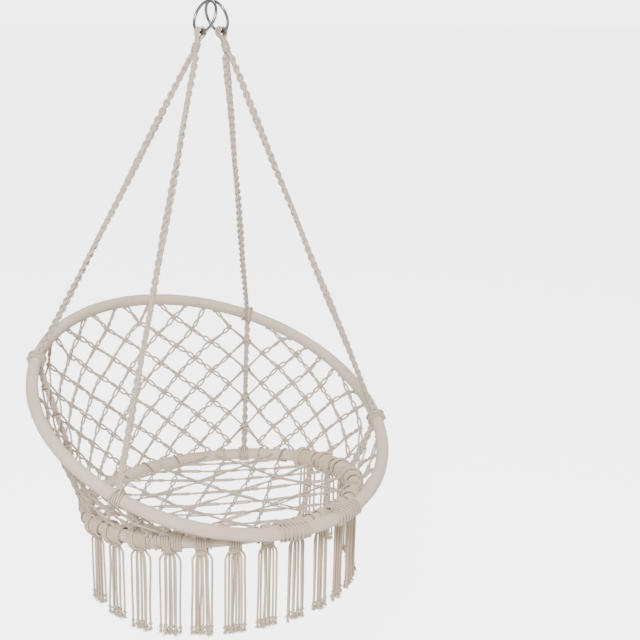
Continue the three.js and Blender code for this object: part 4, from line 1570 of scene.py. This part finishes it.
@dataclass
class Suspension:
    """One ring with the rope eye that bears on it and the eye's wrapping.

    The swing is the largest angle of the chair on the ring, for which the eye leaves room.
    """

    side: Side
    seed: int
    lean: float = math.radians(21)
    ring_radius: float = 0.032
    wire: float = 0.003
    weld_at: float = 2.2
    weld_width: float = 0.05
    weld_rise: float = 0.07
    top_side: float = 0.0032
    leg: float = 0.013
    neck: float = 0.032
    flange: float = 0.004
    swing: float = math.radians(20)
    eye_cord: float = 0.0021
    eye_gap: float = 0.0015
    eye_shifts: tuple = (-0.0062, -0.0021, 0.0021, 0.0062)
    leg_from: float = 0.0006
    draw_in: float = 0.02
    draw_together: float = 0.014
    squeeze: float = 0.35
    parting: float = 0.0042
    parting_from: float = 0.75
    wrap_cord: float = 0.0014
    wrap_radius: float = 0.0068
    wrap_pitch: float = 0.0029
    wrap_turns: float = 6.0
    wrap_squash: float = 0.2

    def ways(self) -> tuple[Array, Array, Array, Array]:
        """Find the ring's lines.

        Returns:
            Its downward way, its way across, its top and its bottom.
        """
        sign = self.side.value
        down = np.array([sign * math.sin(self.lean), 0, -math.cos(self.lean)])
        across = np.array([math.cos(self.lean), 0, sign * math.sin(self.lean)])
        top = np.array([sign * self.top_side, 0, self.wire])
        return down, across, top, top + down * 2 * self.ring_radius

    def build(self, wardrobe: Wardrobe) -> None:
        """Make the ring with its weld, a bell-shaped rise of the wire, then the eye and neck.

        Args:
            wardrobe: Puts the finishes on.
        """
        down, across, top, _ = self.ways()
        centre = top + down * self.ring_radius
        front = np.array([0, -1.0, 0])
        turn = TURN * np.arange(96) / 96
        round_ring = down * np.cos(turn)[:, None] + front * np.sin(turn)[:, None]
        weld = 1 + self.weld_rise * np.exp(-(((turn - self.weld_at) / self.weld_width) ** 2))
        line = centre + self.ring_radius * round_ring
        ring = Skin(self.seed)
        ring.tubes(line, across, self.wire * weld, 20, closed=True)
        name = f"{self.side.name.lower()}_ring"
        wardrobe.dress(ring.mesh(name + "_wire"), RING_FINISH, name, body=Body.RINGS.value)
        self._eye(wardrobe)
        self._wrap(wardrobe)

    def _eye(self, wardrobe: Wardrobe) -> None:
        """Lay four cords over the ring's lower side, draw them together and part them in two.

        Each is half a circle over the wire with two legs. A leg's way from the middle eases
        from the wire's reach to a cord's radius. The outer cords stand further off the wire,
        because it climbs away from them and the chair swings.

        Args:
            wardrobe: Puts the finish on.
        """
        down, across, _, bottom = self.ways()
        cord = self.eye_cord
        front = np.array([0, -1.0, 0])
        drop = np.linspace(self.leg_from, self.leg + self.neck + 2 * self.flange, 26)
        arc = np.linspace(0, math.pi, 13)
        skin = Skin(self.seed + 1)
        for row, shift in enumerate(self.eye_shifts):
            reach = self.wire + self.eye_gap + cord + abs(shift) * math.sin(self.swing)
            bight = np.stack([-reach * np.cos(arc), -reach * np.sin(arc)], -1)
            leg_x = reach - (reach - cord) * ease(drop / self.draw_in)
            drawn = self.squeeze * ease(drop / self.draw_together)
            spread = ease((drop - self.leg - self.neck * self.parting_from) / self.draw_together)
            leg_y = shift * (1 - drawn) + np.sign(shift) * self.parting * spread
            rise, fall = np.stack([-leg_x, drop], -1)[::-1], np.stack([leg_x, drop], -1)
            flat = np.concatenate([rise, bight, fall])
            high = np.abs(shift) / self.ring_radius * np.abs(shift) / 2
            ys = np.concatenate([leg_y[::-1], np.full(len(arc), shift), leg_y])
            path = bottom + across * flat[:, :1] + down * (flat[:, 1:] - high) + front * ys[:, None]
            skin.tubes(path, front + NUDGE * row, cord, 8)
        name = f"{self.side.name.lower()}_rope_eye"
        wardrobe.dress(skin.mesh(name + "_cords"), ROPE_FINISH, name)

    def _wrap(self, wardrobe: Wardrobe) -> None:
        """Wind close turns of cord round the neck, a little flat across the ring.

        Args:
            wardrobe: Puts the finish on.
        """
        down, across, _, bottom = self.ways()
        middle = bottom + down * (self.leg + self.flange + (self.neck - self.flange) / 2)
        radius = self.wrap_radius + self.wrap_cord
        path = coil(middle, down, across, radius, self.wrap_pitch, self.wrap_turns)
        path -= across * ((path - middle) @ across)[:, None] * self.wrap_squash
        skin = Skin(self.seed + 2)
        skin.tubes(path, down + NUDGE, self.wrap_cord, 8)
        name = f"{self.side.name.lower()}_neck_wrap"
        wardrobe.dress(skin.mesh(name + "_turns"), ROPE_FINISH, name)


@dataclass
class Slings:
    """The two ropes and two stays of one side, with their ties."""

    side: Side
    seed: int
    apart: float = 0.0074
    neck_end: float = 0.049
    head_gap: float = 0.0006
    tie_gap: float = 0.004

    def build(self, wardrobe: Wardrobe) -> None:
        """Make the ropes from the eye to the large hoop, the stays on to the seat, and the ties.

        Args:
            wardrobe: Puts the finish on.
        """
        down, _, _, bottom = Suspension(self.side, 0).ways()
        room = SLEEVE_RADIUS + self.tie_gap
        for place, tie, way in (("front", FRONT_TIE, -1), ("rear", REAR_TIE, 1)):
            name = f"{place}_{self.side.name.lower()}"
            angle = self.side.value * tie
            head = bottom + down * self.neck_end + np.array([0, way * self.apart, 0])
            foot = RIM.point(angle)
            seat = SEAT.point(angle)
            along, fall = unit(foot - head), unit(seat - foot)
            start, end = head + along * self.head_gap, foot - along * room
            top, low = foot + fall * room, seat - fall * room
            seed = self.seed + (way + 1) * 2
            Plait(name + "_rope", start, end, seed).build(wardrobe)
            Plait(name + "_stay", top, low, seed + 1).build(wardrobe)
            Tie(name + "_rim_tie", RIM, angle, -along, seed + 2).build(wardrobe)
            Tie(name + "_seat_tie", SEAT, angle, -fall, seed + 3).build(wardrobe)


# Tassels


@dataclass
class Tassel:
    """A tassel: cords looped over the seat hoop, gathered, knotted at the ends and frayed.

    The places are the cords' ways along the hoop at their ends. The fan is half the width of
    the head's cords on the hoop, and the braid is where the cords aslant over it begin.
    """

    name: str
    angle: float
    share: float
    seed: int
    cord: float = 0.0023
    head_cord: float = 0.0024
    head_drop: float = 0.0215
    drop: float = 0.205
    tip: float = 0.013
    places: tuple = (-0.0197, -0.0126, -0.0075, -0.0025, 0.0025, 0.0075, 0.0126, 0.0197)
    gather: float = 0.40
    gather_depth: float = 0.35
    opening: float = 0.13
    pinch: float = 0.16
    depths: tuple = (0.0008, 0.0042)
    wander: float = 0.0006
    wander_rates: tuple = (5, 4)
    stray: float = 0.0007
    uneven: float = 0.003
    tuck: float = 0.003
    knot_room: float = 0.004
    fan: float = 0.0264
    fan_pitch: float = 0.0048
    fan_foot: float = 0.0085
    fan_lift: float = 0.0040
    fan_spread: float = 0.0044
    fan_growth: float = 0.7
    meet_lift: float = 0.001
    braid: float = 0.0095
    braid_pitch: float = 0.0047
    braid_spread: float = 0.021
    braid_lift: float = 0.0044
    braid_foot: float = 0.004
    wrap_cord: float = 0.0019
    wrap_along: float = 0.0118
    wrap_ahead: float = 0.0072
    wrap_lift: float = 0.0045
    wrap_pitch: float = 0.0036
    wrap_turns: float = 2.6
    lashing_room: float = 0.0245
    tie_room: float = 0.0128
    loop_room: float = 0.0074
    knot_tilt: float = 0.35
    knot_size: float = 0.00105
    knot_lift: float = 0.0015
    knot_cord: float = 0.0019
    knot_drop: float = 0.002
    knot_tone: float = -0.4
    fibres: int = 34
    fibre: float = 0.00075
    fray_drop: float = 0.0035
    fray_core: float = 0.0007
    fray_lengths: tuple = (0.72, 1.05)
    fray_taper: float = 0.4
    fray_tone: float = -1.0
    fray_nudge: float = 0.01
    flares: tuple = (0.0008, 0.0058)
    inner_flare: float = 1.4
    outer_flare: float = 0.72

    def __post_init__(self) -> None:
        """Find the hoop's point, and the ways across, ahead, down and along the hoop."""
        self.centre = SEAT.point(self.angle)
        self.across = np.array([math.cos(self.angle), math.sin(self.angle), 0])
        self.ahead = np.array([math.sin(self.angle), -math.cos(self.angle), 0])
        self.down = np.array([0, 0, -1.0])
        tangent = SEAT.tangent(self.angle)
        self.along = tangent * math.copysign(1.0, float(tangent @ self.across))

    def build(self, wardrobe: Wardrobe) -> None:
        """Make the head with its cords as one piece, and one more cord as a piece of its own.

        Args:
            wardrobe: Puts the finish on.
        """
        rng = np.random.default_rng(self.seed)
        skin = Skin(self.seed)
        self._head(skin)
        paths = self._cords(rng)
        skin.tubes(paths[1:], self.across, self.cord, 8)
        self._tips(skin, paths[:, -1], rng)
        item = skin.mesh(self.name + "_cords")
        rest = wardrobe.dress(item, TASSEL_FINISH, self.name, body=self.name)
        single = Skin(self.seed + 1)
        single.tubes(paths[:1], self.across, self.cord, 8)
        item = single.mesh(self.name + "_outer_cord")
        strand = wardrobe.dress(item, TASSEL_FINISH, body=self.name)

    def _cords(self, rng: np.random.Generator) -> Array:
        """Work out the hanging cords' middle lines.

        A cord's way along the hoop and its depth ease from a share of their full values at
        the head, and a low sine of the way down makes it wander. The inner cords stay a
        little closer together at the top.

        Args:
            rng: Source of the differences between cords.

        Returns:
            The lines, shape (cords, steps, 3).
        """
        count = len(self.places)
        turns = (-1.0) ** np.arange(count)
        depth = rng.uniform(*self.depths, count) * turns
        s = np.linspace(0, 1, 30)[:, None]
        top = self.head_drop - self.tuck
        knot = self.drop * self.share - self.tip - self.knot_room
        x_rate, y_rate = self.wander_rates
        lines = []
        for number, place in enumerate(self.places):
            inner = 0 < number < count - 1
            out = ease(s / self.opening) * (1 - self.pinch * (1 - s) * inner)
            wander = rng.normal(0, self.wander, 3)
            x = place * (self.gather + (1 - self.gather) * out)
            x = x + wander[0] * np.sin(s * x_rate + number) + rng.normal(0, self.stray) * s
            y = depth[number] * (self.gather_depth + (1 - self.gather_depth) * out)
            y = y + wander[1] * np.sin(s * y_rate + number)
            low = top + (knot + rng.uniform(-self.uneven, self.uneven) - top) * s
            lines.append(self.centre + self.across * x + self.ahead * y + self.down * low)
        return np.array(lines)

    def _head(self, skin: Skin) -> None:
        """Fan folded cords out over the hoop, and wind a few gathering turns below it.

        A cord of the fan is left out where a loop of the seat net, a lashing or a tie lies on
        the hoop. The fan's reach grows as x^2 / 2R, so that it clears the curved hoop as it
        turns.

        Args:
            skin: The tassel's surface.
        """
        taken = [(share * math.pi, self.loop_room) for share in SeatNet.shares]
        taken += [(Lashing.seat_angle, self.lashing_room), (FRONT_TIE, self.tie_room)]
        shifts = np.arange(-self.fan, self.fan + 1e-6, self.fan_pitch)
        at = np.abs(self.angle + shifts / SEAT.radius)
        free = [np.abs(at - mark) * SEAT.radius > room for mark, room in taken]
        shifts = shifts[np.all(free, axis=0)]
        turned = self.angle + shifts / SEAT.radius
        axes = SEAT.tangent(turned)
        meet = self.centre + self.down * (self.head_drop - self.meet_lift)
        knots = meet + self.along * (shifts * (self.fan_foot / self.fan))[:, None]
        reach = SLEEVE_RADIUS + self.fan_lift + shifts**2 * self.fan_growth / (2 * SEAT.radius)
        paths = teardrops(SEAT.point(turned), axes, knots, reach, self.fan_spread)
        skin.tubes(paths, axes[:, None], self.head_cord, 8)
        if self.braid:
            self._braid(skin, meet, float(reach.max()))
        turn = np.linspace(0, self.wrap_turns * TURN, 60)
        fall = self.head_drop - self.wrap_lift + self.wrap_pitch * turn / TURN
        wrap = (
            self.centre
            + self.down * fall[:, None]
            + self.along * (self.wrap_along * np.cos(turn))[:, None]
            + self.ahead * (self.wrap_ahead * np.sin(turn))[:, None]
        )
        skin.tubes(wrap, self.down, self.wrap_cord, 8)

    def _braid(self, skin: Skin, knot: Array, reach: float) -> None:
        """Lay three cords aslant over the fan, from the knot back over the hoop.

        Args:
            skin: The tassel's surface.
            knot: The point where the cords of the head meet.
            reach: Radius of the fan under them, from the hoop's middle line.
        """
        back = math.copysign(1.0, self.angle)
        shifts = back * (self.braid + self.braid_pitch * np.arange(3))
        turned = self.angle + shifts / SEAT.radius
        axes = SEAT.tangent(turned)
        knots = knot + axes * (self.braid_foot * back * np.arange(-1, 2))[:, None]
        way = float(np.sign(np.cross(axes[1], [0, 0, -1.0]) @ SEAT.outward(self.angle)))
        spread = -self.braid_spread * back * way
        paths = teardrops(SEAT.point(turned), axes, knots, reach + self.braid_lift, spread)
        skin.tubes(paths, axes[:, None], self.cord, 8)

    def _tips(self, skin: Skin, ends: Array, rng: np.random.Generator) -> None:
        """Tie an overhand knot in each cord and fray the fibres below it.

        A fibre leaves the knot downwards and flares outwards as s^1.5.

        Args:
            skin: The tassel's surface.
            ends: Where the cords end, shape (cords, 3).
            rng: Source of the differences between fibres.
        """
        count = len(ends)
        facing = unit(self.ahead + rng.normal(0, self.knot_tilt, (count, 3)))
        spins = rng.uniform(0, TURN, count)
        places = ends + self.down * self.knot_drop
        knots = trefoils(places, facing, spins, self.knot_size, self.knot_lift, 24)
        skin.tubes(knots, facing[:, None], self.knot_cord, 6, closed=True, tone=self.knot_tone)
        total = count * self.fibres
        start = np.repeat(ends, self.fibres, 0) + self.down * self.fray_drop
        turn = rng.uniform(0, TURN, total)
        inner = np.arange(count) % (count - 1) > 0
        widths = np.repeat(np.where(inner, self.inner_flare, self.outer_flare), self.fibres)
        flare = rng.uniform(*self.flares, total) * widths
        out = self.across * np.cos(turn)[:, None] + self.ahead * np.sin(turn)[:, None]
        s = np.linspace(0, 1, 5)
        reach = self.tip * rng.uniform(*self.fray_lengths, total)
        paths = (
            start[:, None]
            + out[:, None] * (self.fray_core + flare[:, None] * s**1.5)[..., None]
            + self.down * (reach[:, None] * s)[..., None]
        )
        ups = out[:, None] + self.down * self.fray_nudge
        skin.tubes(paths, ups, self.fibre * (1 - self.fray_taper * s), 4, tone=self.fray_tone)


# Whole chair


@dataclass
class Lamp:
    """A round area light that faces the chair."""

    name: str
    place: tuple[float, float, float]
    size: float
    power: float

    def build(self, aim: Vector) -> None:
        """Hang the light.

        Args:
            aim: The point that it faces.
        """
        data = bpy.data.lights.new(self.name, "AREA")
        data.shape = "DISK"
        data.size = self.size
        data.energy = self.power
        item = bpy.data.objects.new(self.name, data)
        item.location = self.place
        item.rotation_euler = (Vector(self.place) - aim).to_track_quat("Z", "Y").to_euler()
        bpy.context.scene.collection.objects.link(item)


@dataclass
class Studio:
    """The camera, the floor and the lights."""

    azimuth: float = math.radians(-37.459)
    elevation: float = math.radians(16.115)
    distance: float = 2.40257
    aim: float = -0.64975
    focal_pixels: float = 1133.14
    principal: tuple = (210.87, 320.48)
    picture: int = 640
    sensor: float = 36.0
    sight: float = 200.0
    floor_level: float = -1.62
    floor_radius: float = 60.0
    floor_glow: float = 3.8
    floor_colour: Colour = rgb(0.9, 0.9, 0.895)
    floor_roughness: float = 0.95
    sky: Colour = rgb(1, 0.965, 0.925)
    sky_power: float = 0.62
    paper: Colour = rgb(1, 1, 0.995)
    paper_power: float = 4.6
    lamp_aim: tuple = (0, 0, -0.9)
    lamps: tuple = (
        Lamp("key", (-2.4, -2.2, 1.7), 1.3, 280.0),
        Lamp("fill", (2.6, -1.6, 0.2), 2.4, 32.0),
        Lamp("top", (0.6, 1.2, 2.2), 1.6, 38.0),
    )

    def camera(self) -> None:
        """Place the camera as it was fitted, looking back along its azimuth and elevation."""
        level = math.cos(self.elevation)
        back = Vector(
            (
                math.sin(self.azimuth) * level,
                -math.cos(self.azimuth) * level,
                math.sin(self.elevation),
            )
        )
        data = bpy.data.cameras.new("camera")
        data.sensor_width = self.sensor
        data.lens = self.focal_pixels / self.picture * self.sensor
        data.shift_x = (self.picture / 2 - self.principal[0]) / self.picture
        data.shift_y = (self.principal[1] - self.picture / 2) / self.picture
        data.clip_end = self.sight
        item = bpy.data.objects.new("camera", data)
        item.location = Vector((0, 0, self.aim)) + back * self.distance
        item.rotation_euler = back.to_track_quat("Z", "Y").to_euler()
        bpy.context.scene.collection.objects.link(item)
        bpy.context.scene.camera = item

    def floor(self) -> None:
        """Lay a wide pale floor below the tassels, which glows where the camera sees it."""
        turn = TURN * np.arange(64) / 64
        flat = np.stack([np.cos(turn), np.sin(turn)], -1) * self.floor_radius
        points = np.concatenate([flat, np.full((len(turn), 1), self.floor_level)], 1)
        data = bpy.data.meshes.new("floor")
        data.from_pydata(points.tolist(), [], [tuple(range(len(turn)))])
        g = Graph("floor_paper")
        g.shader.inputs["Base Color"].default_value = self.floor_colour
        g.shader.inputs["Roughness"].default_value = self.floor_roughness
        g.shader.inputs["Emission Color"].default_value = self.paper
        seen = g.node("LightPath").outputs["Is Camera Ray"]
        glow = g.math("MULTIPLY", seen, self.floor_glow)
        g.join(glow, g.shader.inputs["Emission Strength"])
        data.materials.append(g.material)
        item = bpy.data.objects.new("floor", data)
        bpy.context.scene.collection.objects.link(item)

    def lights(self) -> None:
        """Set a white surround, brighter where the camera sees it, and hang the lamps."""
        world = bpy.data.worlds.new("surround")
        world.use_nodes = True
        tree = world.node_tree
        plain = tree.nodes["Background"]
        plain.inputs[0].default_value = self.sky
        plain.inputs[1].default_value = self.sky_power
        paper = tree.nodes.new("ShaderNodeBackground")
        paper.inputs[0].default_value = self.paper
        paper.inputs[1].default_value = self.paper_power
        seen = tree.nodes.new("ShaderNodeLightPath").outputs["Is Camera Ray"]
        mixed = tree.nodes.new("ShaderNodeMixShader")
        for output, socket in (
            (seen, mixed.inputs[0]),
            (plain.outputs[0], mixed.inputs[1]),
            (paper.outputs[0], mixed.inputs[2]),
            (mixed.outputs[0], tree.nodes["World Output"].inputs[0]),
        ):
            tree.links.new(output, socket)
        bpy.context.scene.world = world
        for lamp in self.lamps:
            lamp.build(Vector(self.lamp_aim))


@dataclass
class Chair:
    """The whole hanging chair.

    The first tassels of each side have narrow heads and no braid. The next one's braid starts
    near its middle, and the others' further back.
    """

    tassel_shares: tuple = (1, 1, 1, 1, 1, 0.98, 0.92, 0.84)
    side_columns: int = 5
    back_columns: int = 7
    plain_heads: int = 4
    narrow_fan: float = 0.0096
    first_braid: float = 0.0005

    def build(self, wardrobe: Wardrobe) -> None:
        """Make every piece, cords first.

        Args:
            wardrobe: Puts the finishes on.
        """
        for number, side in enumerate(Side):
            Slings(side, seed=100 + 20 * number).build(wardrobe)
            LOG.info("%s ropes, stays and ties", side.name.lower())
        self._tassels(wardrobe)
        for number, side in enumerate(Side):
            Suspension(side, seed=200 + 10 * number).build(wardrobe)
        HoopCover("rim_hoop_sleeve", RIM, 11).build(wardrobe)
        HoopCover("seat_hoop_sleeve", SEAT, 13).build(wardrobe)
        for name in ("rim_hoop_bar", "seat_hoop_bar"):
            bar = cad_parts[name]
            bar.data.materials.clear()
            bar.data.materials.append(wardrobe.material(BAR_FINISH))
        LOG.info("rings, eyes and hoops")
        Panel("back_net", REAR_TIE, TURN - REAR_TIE, self.back_columns, 31).build(wardrobe)
        for name, start, stop, seed in (
            ("right_net", FRONT_TIE, REAR_TIE, 32),
            ("left_net", -REAR_TIE, -FRONT_TIE, 33),
            ("front_right_net", 0, FRONT_TIE, 34),
            ("front_left_net", -FRONT_TIE, 0, 35),
        ):
            Panel(name, start, stop, self.side_columns, seed).build(wardrobe)
        SeatNet("seat_net", 36).build(wardrobe)
        Lashing("right_lashing", Side.RIGHT, 41).build(wardrobe)
        Lashing("left_lashing", Side.LEFT, 42).build(wardrobe)
        LOG.info("lashings")

    def _tassels(self, wardrobe: Wardrobe) -> None:
        """Make the tassels of both sides, one between each two columns of net.

        Args:
            wardrobe: Puts the finish on.
        """
        count = self.side_columns
        front, beside = FRONT_TIE / count, (REAR_TIE - FRONT_TIE) / count
        for number, share in enumerate(self.tassel_shares):
            angle = (number + 0.5) * front
            if number >= count:
                angle = FRONT_TIE + (number - count + 0.5) * beside
            fan, braid = Tassel.fan, Tassel.braid
            if number < self.plain_heads:
                fan, braid = self.narrow_fan, 0.0
            elif number == self.plain_heads:
                braid = self.first_braid
            for side in Side:
                name = f"{side.name.lower()}_tassel_{number + 1}"
                seed = 300 + 4 * number + 50 * (side.value + 1)
                tassel = Tassel(name, side.value * angle, share, seed, fan=fan, braid=braid)
                tassel.build(wardrobe)
        LOG.info("tassels")


def main() -> None:
    """Build the studio and the chair."""
    logging.basicConfig(level=logging.INFO)
    studio = Studio()
    studio.camera()
    Chair().build(Wardrobe())
    studio.floor()
    studio.lights()


if __name__ == "__main__":
    main()
